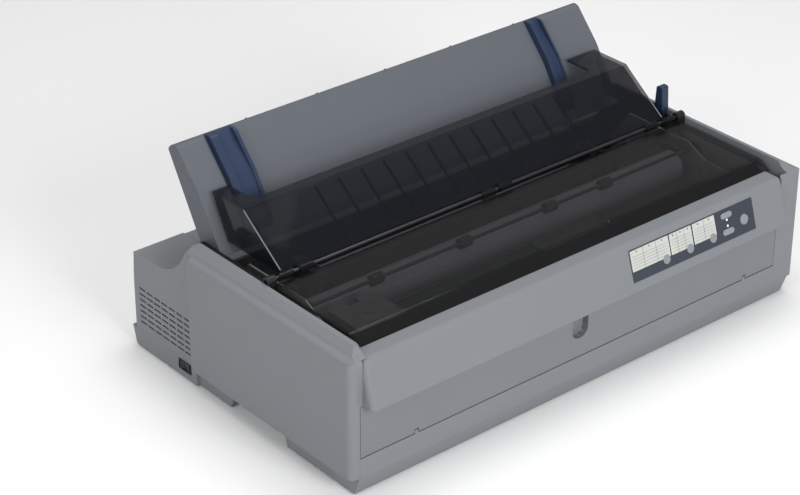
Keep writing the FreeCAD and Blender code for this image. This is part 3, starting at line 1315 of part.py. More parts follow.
def bail_rollers():
    rollers = new_body("bail_rollers")
    for share in bail_roller_shares:
        middle = d.bail_half * share
        pad(rollers, "X", middle - d.bail_roller_half, middle + d.bail_roller_half,
            ("circle", back(d.bail_depth), up(d.bail_height), d.bail_roller),
            hexagon(back(d.bail_depth), up(d.bail_height), d.bail_rod + d.running_gap))
    return rollers


def tear_off_bar():
    """A folded strip between the frames, with its tearing edge up."""
    t = d.tear_thick
    bar = new_body("tear_off_bar")
    pad(bar, "X", -d.tear_half, d.tear_half, side([
        (d.tear_front + t, d.tear_low), (d.tear_rear, d.tear_low), (d.tear_rear, d.tear_low + t),
        (d.tear_front + t * 2, d.tear_low + t), (d.tear_front + t, d.tear_high),
        (d.tear_front, d.tear_high)]))
    for low, high in ((-d.frame_place, -d.tear_half), (d.tear_half, d.frame_place)):
        pad(bar, "X", low, high, side(rectangle(
            d.tear_rear - t * 2, d.tear_rear, d.tear_low, d.tear_low + t * 2)))
    return bar


# Tractors
def tractor(name, x):
    """A pin-feed unit: a rounded block on two shafts, a lid and the row of feed pins along its top."""
    unit = new_body(name)
    low, high = x - d.tractor_half, x + d.tractor_half
    depth, height = (d.tractor_depth + d.tractor_guide_depth) / 2, d.tractor_height + d.tractor_high / 5
    half, tall = d.tractor_long / 2, d.tractor_high / 2
    c = tall * tractor_corner_share
    pad(unit, "X", low, high, side([
        (depth - half + c, height - tall), (depth + half - c, height - tall),
        (depth + half, height - tall + c), (depth + half, height + tall - c),
        (depth + half - c, height + tall), (depth - half + c, height + tall),
        (depth - half, height + tall - c), (depth - half, height - tall + c)]))
    pocket(unit, "X", low - d.overrun, high + d.overrun,
           ("circle", back(d.tractor_depth), up(d.tractor_height), d.tractor_shaft_radius + d.running_gap),
           hexagon(back(d.tractor_guide_depth), up(d.tractor_guide_height),
                   d.tractor_guide_radius + d.running_gap))
    inward = tractor_pin_share if float(x) < 0 else -tractor_pin_share
    reach = half * tractor_reach_share
    pins = []
    for number in range(TRACTOR_PINS):
        share = number / (TRACTOR_PINS - 1) - 1 / 2
        pins.append(hexagon(x + d.tractor_half * inward, back(depth + reach * share), d.tractor_pin_radius))
    pad(unit, "Z", up(height + tall - d.overrun), up(height + tall + d.tractor_pin_high), *pins)
    lid_low, lid_high = (low, x) if float(x) < 0 else (x, high)
    pad(unit, "Z", up(height + tall - d.overrun), up(height + tall + d.tractor_lid), plan(rectangle(
        lid_low, lid_high, depth - half * tractor_lid_share, depth + half * tractor_lid_share)))
    return unit


# Inside and rear
def main_board():
    board = new_body("main_board")
    low = d.main_board_height
    pad(board, "Z", up(low), up(low + d.board_thick), plan(rectangle(
        -d.board_left, d.board_right, d.main_board_front, d.main_board_rear)))
    chips = []
    long, deep = d.board_left + d.board_right, d.main_board_rear - d.main_board_front
    for share_x, share_y, share_size in chip_shares:
        x, depth = -d.board_left + long * share_x, d.main_board_front + deep * share_y
        half = long * share_size / 2
        chips.append(plan(rectangle(x - half, x + half, depth - half, depth + half)))
    pad(board, "Z", up(low + d.board_thick), up(low + d.board_thick + d.chip_high), *chips)
    legs = []
    for x in (-d.board_left + d.post_radius * 2, d.board_right - d.post_radius * 2):
        for depth in (d.main_board_front + d.post_radius * 2, d.main_board_rear - d.post_radius * 2):
            legs.append(plan(rectangle(x - d.post_radius, x + d.post_radius,
                                       depth - d.post_radius, depth + d.post_radius)))
    pad(board, "Z", up(d.floor_wall), up(low), *legs)
    return board


def power_supply():
    supply = new_body("power_supply")
    pad(supply, "Z", up(d.floor_wall), up(d.supply_high), plan(rectangle(
        -d.supply_left, -d.supply_right, d.supply_front, d.supply_rear)))
    slots = []
    slot_low, slot_high = [d.supply_high * share for share in supply_slot_shares]
    for number in range(SUPPLY_SLOTS):
        start = d.supply_front + d.post_radius * (2 + number * 4)
        slots.append(side(rectangle(start, start + d.post_radius * 2, slot_low, slot_high)))
    pocket(supply, "X", -d.supply_right - d.wall, -d.supply_right + d.overrun, *slots)
    return supply


def rocker_frame():
    """The bezel of the mains switch, set in the case's left wall."""
    g, w = d.running_gap, d.switch_frame_wall
    low_x, high_x = -d.deck_half - d.switch_proud, -d.deck_half + d.switch_deep
    return slab("switch_frame", "X", low_x, high_x,
                side(rectangle(d.switch_front + g, d.switch_rear - g, d.switch_low + g, d.switch_top - g)),
                side(rectangle(d.switch_front + w, d.switch_rear - w, d.switch_low + w, d.switch_top - w)))


def rocker_pivot():
    """Place along X and depth of the upright pin that the rocker turns about."""
    return -d.deck_half + d.switch_deep / 2, (d.switch_front + d.switch_rear) / 2


def rocker_switch():
    """A rocker with two faces that meet at a shallow angle, turning about an upright pin at its middle."""
    x, depth = rocker_pivot()
    gap = d.switch_frame_wall + d.switch_gap
    low, high = d.switch_low + gap, d.switch_top - gap
    half = (d.switch_rear - d.switch_front) / 2 - gap - d.switch_proud * rocker_inset_share
    rocker = new_body("rocker_switch")
    inside, outer = x + d.switch_deep * rocker_rear_share, -d.deck_half
    pad(rocker, "Z", up(low), up(high), plan([
        (inside, depth - half / 2), (outer + d.switch_proud, depth - half),
        (outer - d.switch_proud, depth - half), (outer + d.switch_proud * rocker_middle_share, depth),
        (outer - d.switch_proud, depth + half), (outer + d.switch_proud, depth + half),
        (inside, depth + half / 2)]))
    pin_low = d.switch_low + d.switch_frame_wall + d.running_gap
    pad(rocker, "Z", up(pin_low), up(d.switch_top - d.switch_frame_wall - d.running_gap),
        ("circle", x, back(depth), d.switch_proud * rocker_pin_share))
    return rocker


def rear_wall_depth(height):
    """Depth of the leaning rear wall's outer face at a height."""
    share = (height - d.pod_floor).value / float(d.deck_height - d.pod_floor)
    return d.rear_reach - (d.rear_reach - d.rear_top_depth) * share


def socket(name, place_x, half, low, high, deep, shape_step):
    """A moulded socket through the rear wall, open to the back, with a tongue inside."""
    body = new_body(name)
    g, w = d.running_gap, d.port_frame
    face = rear_wall_depth(low + high)
    start, end = back(face - deep), back(face)
    pad(body, "Y", start, end, front(rectangle(
        place_x - half + g, place_x + half - g, low + g, low + high - g)))
    pocket(body, "Y", start + w * 2, end + d.overrun, front([
        (place_x - half + w + shape_step, low + w), (place_x + half - w - shape_step, low + w),
        (place_x + half - w, low + high - w), (place_x - half + w, low + high - w)]))
    long_share, low_share, high_share = tongue_shares
    pad(body, "Y", start + w, end - w * 2, front(rectangle(
        place_x - half * long_share, place_x + half * long_share,
        low + high * low_share, low + high * high_share)))
    return body


def front_paper_pan():
    """The sloping sheet that carries paper from the front slot to the platen."""
    t = d.pan_thick
    pan = new_body("front_paper_pan")
    pad(pan, "X", -d.pan_half, d.pan_half, side([
        (d.pan_front + t * 3, d.pan_front_height), (d.pan_rear, d.pan_rear_height - t),
        (d.pan_rear, d.pan_rear_height), (d.pan_front + t * 3, d.pan_front_height + t),
        (d.pan_front, d.pan_front_height - t * 2), (d.pan_front, d.pan_front_height - t * 4)]))
    share = (d.pan_wing_start - d.pan_front - t * 3) / (d.pan_rear - d.pan_front - t * 3)
    wing = d.pan_front_height + (d.pan_rear_height - t - d.pan_front_height) * share
    pad(pan, "X", -d.frame_place, d.frame_place, side([
        (d.pan_wing_start, wing), (d.pan_rear, d.pan_rear_height - t),
        (d.pan_rear, d.pan_rear_height), (d.pan_wing_start, wing + t)]))
    return pan


def screws():
    """Six-sided screw heads on the feet of the side frames."""
    heads = []
    low = d.floor_wall + d.frame_thick
    for sign in (-1, 1):
        x = (d.frame_place + d.frame_thick - d.frame_foot / 2) * sign
        for share in screw_shares:
            depth = d.frame_front + (d.frame_rear - d.frame_front) * share
            heads.append(hexagon(x, back(depth), d.screw_radius))
    return slab("screws", "Z", up(low), up(low + d.screw_high), *heads)


def build():
    node("upper_case", upper_case())
    node("lower_case", lower_case())
    node("rubber_feet", rubber_feet())
    node("front_fascia", front_fascia())
    node("panel_overlay", panel_overlay())
    node("panel_board", panel_board())
    for name, x, drop, half_x, half_y in keys():
        node(name, button(name, x, drop, half_x, half_y))
    node("front_cover", front_cover())
    node("printer_cover", printer_cover())
    node("hinge_bar", rod("hinge_bar", d.hinge_depth, d.hinge_height, d.hinge_bar_radius,
                          -d.hinge_bar_half, d.hinge_bar_half))
    node("rear_cover", rear_cover())
    node("paper_guide", paper_guide())
    node("edge_guide_left", edge_guide("edge_guide_left", -d.edge_left_out, -d.edge_left_in))
    node("edge_guide_right", edge_guide("edge_guide_right", d.edge_right_in, d.edge_right_out))
    node("inner_rail_left", inner_rail("inner_rail_left", -1))
    node("inner_rail_right", inner_rail("inner_rail_right", 1))
    node("release_lever", release_lever())
    node("side_frame_left", side_frame("side_frame_left", -1))
    node("side_frame_right", side_frame("side_frame_right", 1))
    node("platen", platen())
    node("platen_shaft", platen_shaft())
    low, high = -d.gear_outer, -d.gear_inner
    node("platen_gear", gear("platen_gear", d.platen_depth, d.platen_height, d.platen_gear_radius,
                             PLATEN_TEETH, d.shaft_radius, low, high))
    stud = d.stud_radius + d.running_gap
    node("idler_gear", gear("idler_gear", d.idler_depth, d.idler_height, d.idler_radius, IDLER_TEETH,
                            stud, low, high))
    node("feed_pinion", feed_pinion())
    depth, height = second_idler_place()
    node("tractor_idler", gear("tractor_idler", depth, height, d.second_idler_radius, SECOND_IDLER_TEETH,
                               stud, low, high))
    node("tractor_gear", gear("tractor_gear", d.tractor_depth, d.tractor_height, d.tractor_gear_radius,
                              TRACTOR_TEETH, d.tractor_shaft_radius, low, high))
    node("feed_motor", feed_motor())
    node("feed_knob", feed_knob())
    node("carriage_shaft", rod("carriage_shaft", d.rod_depth, d.rod_height, d.rod_radius,
                               -d.frame_place, d.frame_place))
    node("carriage_rail", carriage_rail())
    node("carriage", carriage())
    node("print_head", print_head())
    node("ribbon_cartridge", ribbon_cartridge())
    node("drive_belt", drive_belt())
    node("belt_pulley_left", belt_pulley("belt_pulley_left", -d.pulley_place))
    node("belt_pulley_right", belt_pulley("belt_pulley_right", d.pulley_place))
    node("carriage_motor", carriage_motor())
    node("pulley_post", pulley_post())
    node("paper_bail", paper_bail())
    node("bail_rollers", bail_rollers())
    node("tear_off_bar", tear_off_bar())
    node("tractor_shaft", rod("tractor_shaft", d.tractor_depth, d.tractor_height, d.tractor_shaft_radius,
                              -d.gear_outer, d.frame_place + d.frame_thick))
    node("tractor_guide_shaft", rod("tractor_guide_shaft", d.tractor_guide_depth, d.tractor_guide_height,
                                    d.tractor_guide_radius, -d.frame_place, d.frame_place))
    node("tractor_left", tractor("tractor_left", -d.tractor_place))
    node("tractor_right", tractor("tractor_right", d.tractor_place))
    node("main_board", main_board())
    node("power_supply", power_supply())
    node("switch_frame", rocker_frame())
    node("rocker_switch", rocker_switch())
    node("power_inlet", socket("power_inlet", -d.inlet_place, d.inlet_half, d.inlet_low, d.inlet_high,
                               d.inlet_deep, d.port_frame * 2))
    node("parallel_socket", socket("parallel_socket", d.port_place, d.port_half, d.port_low, d.port_high,
                                   d.port_deep, d.port_frame * 2))
    node("serial_socket", socket("serial_socket", d.serial_place, d.serial_half, d.port_low, d.serial_high,
                                 d.port_deep, d.port_frame))
    node("front_paper_pan", front_paper_pan())
    node("screws", screws())


def check():
    """Stops when any object failed, or when a piece is empty or broken."""
    faults = []
    for thing in doc.Objects:
        if "Invalid" in thing.State or "Error" in thing.State:
            faults.append(thing.Name + ": " + ", ".join(thing.State))
    for piece in nodes:
        if piece.Shape.isNull() or not piece.Shape.isValid() or not piece.Shape.Solids:
            faults.append(piece.Label + ": no sound solid")
    if faults:
        raise RuntimeError("; ".join(faults))


def export():
    os.makedirs("parts", exist_ok=True)
    for piece in nodes:
        piece.Shape.exportStep(os.path.join("parts", piece.Label + ".step"))
    print(len(nodes), "pieces written")


build()
doc.recompute()
check()
export()
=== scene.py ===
import json
import math
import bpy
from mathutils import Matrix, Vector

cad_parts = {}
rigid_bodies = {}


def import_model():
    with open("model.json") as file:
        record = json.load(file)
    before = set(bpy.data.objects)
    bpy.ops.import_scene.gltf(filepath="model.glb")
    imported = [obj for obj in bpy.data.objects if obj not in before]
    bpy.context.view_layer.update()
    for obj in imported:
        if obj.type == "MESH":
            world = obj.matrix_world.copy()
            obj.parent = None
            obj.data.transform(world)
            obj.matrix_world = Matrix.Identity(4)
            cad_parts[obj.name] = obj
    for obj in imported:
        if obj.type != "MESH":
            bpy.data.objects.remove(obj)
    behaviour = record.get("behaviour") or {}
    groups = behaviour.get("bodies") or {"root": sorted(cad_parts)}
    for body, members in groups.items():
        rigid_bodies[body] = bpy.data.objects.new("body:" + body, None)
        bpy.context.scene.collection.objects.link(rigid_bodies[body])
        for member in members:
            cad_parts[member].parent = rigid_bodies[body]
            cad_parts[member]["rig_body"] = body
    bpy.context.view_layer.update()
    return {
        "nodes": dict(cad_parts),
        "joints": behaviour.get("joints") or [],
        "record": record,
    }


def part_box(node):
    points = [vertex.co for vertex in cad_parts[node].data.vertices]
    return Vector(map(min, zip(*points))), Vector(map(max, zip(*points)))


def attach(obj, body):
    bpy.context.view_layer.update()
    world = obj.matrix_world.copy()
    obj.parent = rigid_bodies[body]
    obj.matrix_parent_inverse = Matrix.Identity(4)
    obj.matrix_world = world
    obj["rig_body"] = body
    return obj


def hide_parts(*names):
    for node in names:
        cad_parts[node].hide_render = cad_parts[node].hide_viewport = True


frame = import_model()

from types import SimpleNamespace

import bmesh
import bpy
import numpy as np
from bpy.props import FloatProperty, FloatVectorProperty, IntProperty, PointerProperty
from bpy.types import Operator, Panel, PropertyGroup
from mathutils import Vector

bl_info = {
    "name": "Dot matrix printer",
    "version": (1, 0, 0),
    "blender": (4, 5, 0),
    "location": "View3D > Sidebar > Printer",
    "description": "Dresses the frame of a wide dot matrix printer and stages it",
    "category": "Object",
}

MM = 0.001
MICRON = 0.000001
UP = (0.0, 0.0, 1.0)
SIDEWAYS = (1.0, 0.0, 0.0)

# Edges sharper than so many degrees stay crisp: on mouldings, and on bars and rollers
MOULDED_EDGE = 16.0
ROUND_EDGE = 50.0

# Points closer than this are one point, in surfaces made here and in solids read from the frame
SAME_POINT = 1e-7
SAME_CORNER = 2e-6


def millimetres(**sizes):
    """Named sizes in metres, given in millimetres."""
    return SimpleNamespace(**{name: size * MM for name, size in sizes.items()})


# Materials

# Features of each noise in one metre
PER_METRE = SimpleNamespace(cloud=9.0, speck=160.0, hairline=60.0, smoke=12.0, rubber_bloom=40.0,
                            rubber_streak=120.0, rubber=1500.0, ground_line=900.0, stain=30.0,
                            spangle=160.0, zinc_bloom=14.0, zinc=700.0, track=25.0, cross_track=22.0,
                            orange_peel=2600.0, ink=30.0, lens=1800.0, floor=1.5)
# Depths of relief in metres
RELIEF = SimpleNamespace(rubber=30.0 * MICRON, ground=20.0 * MICRON, zinc=20.0 * MICRON,
                         copper=40.0 * MICRON, film=10.0 * MICRON)
# How much light each kind of surface mirrors, as the shader's specular level
MIRRORED = SimpleNamespace(plastic=0.36, acrylic=0.28, rubber=0.3, floor=0.15)
# Dull specks on plastic: the noise that they start at, how much they soil, and the share of its colour
SPECK = SimpleNamespace(level=0.7, amount=0.12, share=0.8)
# Copper tracks: the part of the wave that is copper each way, and the noise that breaks the tracks off
TRACK = SimpleNamespace(wave=0.55, cross_wave=0.6, above=0.5, below=0.48)
# Radians in one metre of the waves that the copper tracks follow
TRACK_WAVE = 900.0
ACRYLIC_IOR = 1.49
BEVEL_SAMPLES = 6


class Wire:
    """A socket's value in a material. Calculating with it adds the Math nodes."""

    def __init__(self, finish, socket):
        self.finish, self.socket = finish, socket

    def maths(self, operation, *values):
        node = self.finish.add("Math", {"operation": operation}, dict(enumerate(values)))
        return Wire(self.finish, node.outputs[0])

    def __add__(self, other):
        return self.maths("ADD", self, other)

    __radd__ = __add__

    def __sub__(self, other):
        return self.maths("SUBTRACT", self, other)

    def __mul__(self, other):
        return self.maths("MULTIPLY", self, other)

    __rmul__ = __mul__

    def __gt__(self, other):
        return self.maths("GREATER_THAN", self, other)

    def __lt__(self, other):
        return self.maths("LESS_THAN", self, other)

    def wave(self):
        return self.maths("SINE", self)

    def swing(self, amount):
        """A noise between nought and one as a swing about nought, the amount wide."""
        return (self - 0.5) * amount

    def limited(self):
        return self.maths("MAXIMUM", self.maths("MINIMUM", self, 1.0), 0.0)


class Finish:
    """One material, put together from nodes round a Principled surface."""

    def __init__(self, name, **constants):
        self.material = bpy.data.materials.new(name)
        self.material.use_nodes = True
        self.nodes, self.links = self.material.node_tree.nodes, self.material.node_tree.links
        self.nodes.clear()
        self.surface = self.add("BsdfPrincipled", sockets=constants)
        self.add("OutputMaterial", sockets={"Surface": Wire(self, self.surface.outputs[0])})

    def add(self, kind, settings=None, sockets=None):
        """A node of a kind, with its settings and the values or links of its sockets."""
        node = self.nodes.new("ShaderNode" + kind)
        for name, value in (settings or {}).items():
            setattr(node, name, value)
        for key, value in (sockets or {}).items():
            if isinstance(value, Wire):
                self.links.new(value.socket, node.inputs[key])
            else:
                node.inputs[key].default_value = value
        return node

    def place(self):
        """Object coordinates, in metres from the part's origin."""
        return Wire(self, self.add("TexCoord").outputs["Object"])

    def axes(self):
        split = self.add("SeparateXYZ", sockets={0: self.place()})
        return [Wire(self, output) for output in split.outputs]

    def noise(self, per_metre, detail=2.0, squeeze=None):
        """Soft noise from nought to one. Squeeze multiplies its features per metre along each axis."""
        vector = self.place()
        if squeeze:
            mapping = self.add("Mapping", sockets={"Vector": vector, "Scale": squeeze})
            vector = Wire(self, mapping.outputs[0])
        node = self.add("TexNoise", sockets={"Vector": vector, "Scale": per_metre, "Detail": detail})
        return Wire(self, node.outputs["Fac"])

    def blend(self, factor, low, high):
        """Two colours through a Mix node."""
        node = self.add("Mix", {"data_type": "RGBA", "clamp_factor": True},
                        {"Factor": factor, 6: low, 7: high})
        return Wire(self, node.outputs[2])

    def shade(self, factor, colour, dark, light):
        """A colour that wanders between two shares of itself."""
        return self.blend(factor, rgba(colour, dark), rgba(colour, light))

    def bump(self, height, depth, strength, edge=0.0):
        """Relief of a depth in metres, over edges that are rounded by a radius where one is given."""
        sockets = {"Height": height, "Distance": depth, "Strength": strength}
        if edge:
            rounded = self.add("Bevel", {"samples": BEVEL_SAMPLES}, {"Radius": edge})
            sockets["Normal"] = Wire(self, rounded.outputs[0])
        return Wire(self, self.add("Bump", sockets=sockets).outputs[0])

    def feed(self, **sockets):
        for name, value in sockets.items():
            self.links.new(value.socket, self.surface.inputs[name.replace("_", " ")])
        return self.material


def rgba(colour, share):
    return tuple(value * share for value in colour) + (1.0,)


def moulded(name, colour, looks, rough=0.58, dust=0.04, coarse=1.0, edge=True, relief=0.6):
    """Moulded plastic: fine spark-eroded grain, faint clouding, a few dull specks, rounded edges."""
    finish = Finish(name, **{"Specular IOR Level": MIRRORED.plastic})
    grain = finish.noise(1.0 / (looks.grain * coarse), 3.0)
    cloud = finish.noise(PER_METRE.cloud, 3.0)
    speck = finish.noise(PER_METRE.speck)
    clean = finish.shade(cloud * 0.9, colour, dark=1.0 - dust, light=1.0 + dust)
    soiled = finish.blend((speck > SPECK.level) * SPECK.amount, clean, rgba(colour, SPECK.share))
    normal = finish.bump(grain, looks.grain_depth, relief, looks.edge_round if edge else 0.0)
    return finish.feed(Base_Color=soiled, Roughness=rough + grain.swing(0.12) + cloud.swing(0.08),
                       Normal=normal)


def smoked(name, colour, density, mirrored=MIRRORED.acrylic):
    """Smoke-grey acrylic: tinted through, polished, with faint hairline scratches and haze."""
    finish = Finish(name, **{"Specular IOR Level": mirrored, "IOR": ACRYLIC_IOR})
    hairline = finish.noise(PER_METRE.hairline, 4.0, (1.0, 14.0, 14.0))
    cloud = finish.noise(PER_METRE.smoke, 3.0)
    return finish.feed(Base_Color=finish.shade(cloud, colour, dark=0.85, light=1.15),
                       Roughness=0.07 + 0.07 * cloud * hairline,
                       Alpha=density + hairline.swing(0.03))


def rubber(name, colour, streaked=0.0):
    """Ground rubber, with a share of streaks along the roller where one is asked for."""
    finish = Finish(name, **{"Specular IOR Level": MIRRORED.rubber})
    bloom = finish.noise(PER_METRE.rubber_bloom, 4.0, (1.0, 3.0, 3.0))
    streak = finish.noise(PER_METRE.rubber_streak, 3.0, (0.04, 4.0, 4.0))
    uneven = bloom * (1.0 - streaked) + streak * streaked
    return finish.feed(Base_Color=finish.shade(uneven, colour, dark=0.6, light=1.5),
                       Roughness=0.62 + bloom.swing(0.2),
                       Normal=finish.bump(finish.noise(PER_METRE.rubber), RELIEF.rubber, 0.5))


def drawn_steel(name, colour, rough=0.28, squeeze=(0.05, 6.0, 6.0)):
    """Ground or drawn steel: fine lines along X and faint stains of oil."""
    finish = Finish(name, Metallic=1.0)
    lines = finish.noise(PER_METRE.ground_line, 2.0, squeeze)
    stain = finish.noise(PER_METRE.stain, 4.0)
    return finish.feed(Base_Color=finish.shade(stain, colour, dark=0.85, light=1.05),
                       Roughness=rough + lines.swing(0.16) + stain.swing(0.12),
                       Normal=finish.bump(lines, RELIEF.ground, 0.4))


def zinc_plate(name, colour):
    """Zinc-plated sheet: bright spangles in flat cells and a dull bloom."""
    finish = Finish(name, Metallic=1.0)
    cells = finish.add("TexVoronoi", {"feature": "F1"},
                       {"Vector": finish.place(), "Scale": PER_METRE.spangle})
    spangle = Wire(finish, cells.outputs["Distance"])
    bloom = finish.noise(PER_METRE.zinc_bloom, 4.0)
    normal = finish.bump(finish.noise(PER_METRE.zinc), RELIEF.zinc, 0.3, 0.4 * MM)
    return finish.feed(Base_Color=finish.shade(spangle, colour, dark=0.8, light=1.1),
                       Roughness=0.38 + bloom.swing(0.2) + 0.1 * spangle, Normal=normal)


def printed_board(name, colour):
    """Solder mask over copper tracks that run square to each other."""
    finish = Finish(name)
    x, y, _ = finish.axes()
    along = (x * TRACK_WAVE).wave() > TRACK.wave
    across = (y * TRACK_WAVE).wave() > TRACK.cross_wave
    tracks = along * (finish.noise(PER_METRE.track, 0.0) > TRACK.above)
    crossing = across * (finish.noise(PER_METRE.cross_track, 0.0) < TRACK.below)
    copper = (tracks + crossing).limited()
    return finish.feed(Base_Color=finish.shade(copper, colour, dark=1.0, light=1.9),
                       Roughness=0.35 + 0.1 * copper,
                       Normal=finish.bump(copper, RELIEF.copper, 0.5))


def printed_film(name, colour, rough=0.4):
    """Even satin ink or plastic with a fine orange peel."""
    finish = Finish(name)
    peel = finish.noise(PER_METRE.orange_peel, 1.0)
    cloud = finish.noise(PER_METRE.ink)
    return finish.feed(Base_Color=finish.shade(cloud, colour, dark=0.93, light=1.07),
                       Roughness=rough + peel.swing(0.08),
                       Normal=finish.bump(peel, RELIEF.film, 0.35))


def glowing(name, colour, strength):
    """A lens that a small lamp lights from behind, a little uneven."""
    finish = Finish(name, **{"Emission Strength": strength, "Roughness": 0.25})
    shade = finish.shade(finish.noise(PER_METRE.lens, 1.0), colour, dark=0.9, light=1.0)
    return finish.feed(Base_Color=shade, Emission_Color=shade)


def plain_floor(name, colour):
    """A pale, dull studio floor with a trace of unevenness."""
    finish = Finish(name, **{"Specular IOR Level": MIRRORED.floor})
    cloud = finish.noise(PER_METRE.floor)
    return finish.feed(Base_Color=finish.shade(cloud, colour, dark=0.985, light=1.0),
                       Roughness=0.85 + cloud.swing(0.05))


# Surfaces

# Points round one section, and rings along a straight bar
SIDES = SimpleNamespace(bar=20, patch=32, lamp=20, cap=40, contact=12, blade=16, wire=10)
BAR_RINGS = 4


def grid_mesh(points, closed=False):
    """A mesh over a grid of points, rows by columns by three. A closed one is a solid: its columns are
    joined round, and its first and last row have one face each."""
    rows, columns = points.shape[:2]
    index = np.arange(rows * columns).reshape(rows, columns)
    ends = []
    if closed:
        ends = [index[0, ::-1].tolist(), index[-1].tolist()]
        index = np.hstack([index, index[:, :1]])
    faces = np.stack([index[:-1, :-1], index[:-1, 1:], index[1:, 1:], index[1:, :-1]], -1)
    mesh = bpy.data.meshes.new("surface")
    mesh.from_pydata(points.reshape(-1, 3).tolist(), [], faces.reshape(-1, 4).tolist() + ends)
    mesh.update()
    return mesh


def place_object(name, data):
    """A new object in the scene."""
    made = bpy.data.objects.new(name, data)
    bpy.context.scene.collection.objects.link(made)
    return made


def turned_out(name, work):
    """An object from a mesh that is being edited, its faces turned outwards."""
    bmesh.ops.recalc_face_normals(work, faces=work.faces)
    mesh = bpy.data.meshes.new(name)
    work.to_mesh(mesh)
    work.free()
    return place_object(name, mesh)


def gather(name, meshes):
    """One object from several meshes, its doubles merged."""
    work = bmesh.new()
    for mesh in meshes:
        work.from_mesh(mesh)
        bpy.data.meshes.remove(mesh)
    bmesh.ops.remove_doubles(work, verts=work.verts, dist=SAME_POINT)
    return turned_out(name, work)


def smooth(piece, angle=MOULDED_EDGE):
    """Shades a piece smooth, with edges sharper than the angle left crisp."""
    piece.data.polygons.foreach_set("use_smooth", np.ones(len(piece.data.polygons), bool))
    piece.data.set_sharp_from_angle(angle=math.radians(angle))
    weigh = piece.modifiers.new("even_shading", "WEIGHTED_NORMAL")
    weigh.keep_sharp = True
    return piece


def dress(piece, material, body, slot_name, *replaced):
    """Gives a finished piece its material, the body that it rides on, and what it stands for."""
    piece.data.materials.clear()
    piece.data.materials.append(material)
    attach(piece, body)
    if replaced:
        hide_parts(*replaced)
    return piece


def paint_nodes(material, node_names):
    """Gives carried-over nodes their material."""
    for name in node_names:
        piece = frame["nodes"][name]
        if not piece.material_slots:
            piece.data.materials.append(None)
        for place in piece.material_slots:
            place.link = "OBJECT"
            place.material = material


def body_of(node_name):
    return frame["nodes"][node_name]["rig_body"]


def slot_of(node_name):
    return next(row["material_slot"] for row in frame["record"]["subparts"] if row["node"] == node_name)


def finish_nodes(material, node_names, angle=MOULDED_EDGE):
    """Merged copies of nodes' solids, smoothly shaded over their rounds, that stand for the nodes."""
    for name in node_names:
        work = bmesh.new()
        work.from_mesh(frame["nodes"][name].data)
        bmesh.ops.remove_doubles(work, verts=work.verts, dist=SAME_CORNER)
        bmesh.ops.dissolve_degenerate(work, edges=work.edges, dist=SAME_POINT)
        piece = smooth(turned_out(name + "_finished", work), angle)
        dress(piece, material, body_of(name), slot_of(name), name)


def around(count, start=0.0):
    """Angles that share out one turn, from a start on."""
    return np.linspace(0.0, 2.0 * np.pi, count, endpoint=False) + start


def rounded_outline(half_x, half_y, power, count):
    """A closed outline between an ellipse at power 2 and a rectangle: x = a·sign(cos t)·|cos t|^(2/n),
    y alike."""
    c, s = np.cos(around(count)), np.sin(around(count))
    return np.stack([half_x * np.sign(c) * np.abs(c) ** (2.0 / power),
                     half_y * np.sign(s) * np.abs(s) ** (2.0 / power)], -1)


def stadium(half_x, half_y, count):
    """A bar with round ends: a circle of the half height, its halves moved apart along x."""
    turn = around(count, np.pi / count)
    shift = max(half_x - half_y, 0.0)
    return np.stack([half_y * np.cos(turn) + shift * np.sign(np.cos(turn)), half_y * np.sin(turn)], -1)


def carried(path, section, side=UP):
    """A section carried along a path into a solid bar. Its first size lies square to the path and to the
    side direction, its second square to the path and to the first."""
    path = np.asarray(path, float)
    along = np.gradient(path, axis=0)
    along /= np.linalg.norm(along, axis=1, keepdims=True)
    across = np.cross(along, np.asarray(side, float))
    across /= np.linalg.norm(across, axis=1, keepdims=True)
    third = np.cross(across, along)
    offsets = across[:, None] * section[None, :, :1] + third[:, None] * section[None, :, 1:]
    return grid_mesh(path[:, None] + offsets, closed=True)


def straight_bar(start, end, half_across, half_up, side=UP, power=6.0):
    """A bar between two points, with a softened rectangle for its section."""
    share = np.linspace(0.0, 1.0, BAR_RINGS)[:, None]
    path = np.asarray(start, float) * (1.0 - share) + np.asarray(end, float) * share
    return carried(path, rounded_outline(half_across, half_up, power, SIDES.bar), side)


class Face:
    """The leaning face that the panel lies on, read from the film's box and the buttons' own travel."""

    def __init__(self, thick):
        low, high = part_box("panel_overlay")
        inward = next(np.array(joint["axis"]) for joint in frame["joints"]
                      if joint["name"] == "font_press")
        self.out = -inward / np.linalg.norm(inward)
        self.along = np.array(SIDEWAYS)
        down = np.cross(self.along, self.out)
        self.down = down if down[2] < 0.0 else -down
        self.corner = np.array([low.x, high.y + thick * self.out[1], high.z])

    def at(self, along, down, out):
        """Points at distances along, down and out of the face, as arrays that fit each other."""
        along, down, out = np.broadcast_arrays(along, down, out)
        return (self.corner + along[..., None] * self.along + down[..., None] * self.down
                + out[..., None] * self.out)

    def locate(self, node_name):
        """How far along and down the face a node's middle lies."""
        low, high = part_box(node_name)
        middle = (np.array(low) + np.array(high)) / 2.0 - self.corner
        return float(middle @ self.along), float(middle @ self.down)

    def patch(self, along, down, out, corner):
        """A thin card between two distances along, down and out, with rounded corners. Its edge stands
        straight for most of its height, and its top turns in by half the height."""
        half_x, half_y = (along[1] - along[0]) / 2.0, (down[1] - down[0]) / 2.0
        height = out[1] - out[0]
        turn = around(SIDES.patch, np.pi / SIDES.patch)
        rows = []
        for inset, level in ((0.0, out[0]), (0.0, out[1] - height * 0.3), (height * 0.5, out[1])):
            x = np.clip(2.0 * half_x * np.cos(turn), -(half_x - corner), half_x - corner)
            y = np.clip(2.0 * half_y * np.sin(turn), -(half_y - corner), half_y - corner)
            x = x + (corner - inset) * np.cos(turn)
            y = y + (corner - inset) * np.sin(turn)
            rows.append(self.at(x + along[0] + half_x, y + down[0] + half_y, level))
        return grid_mesh(np.array(rows), closed=True)


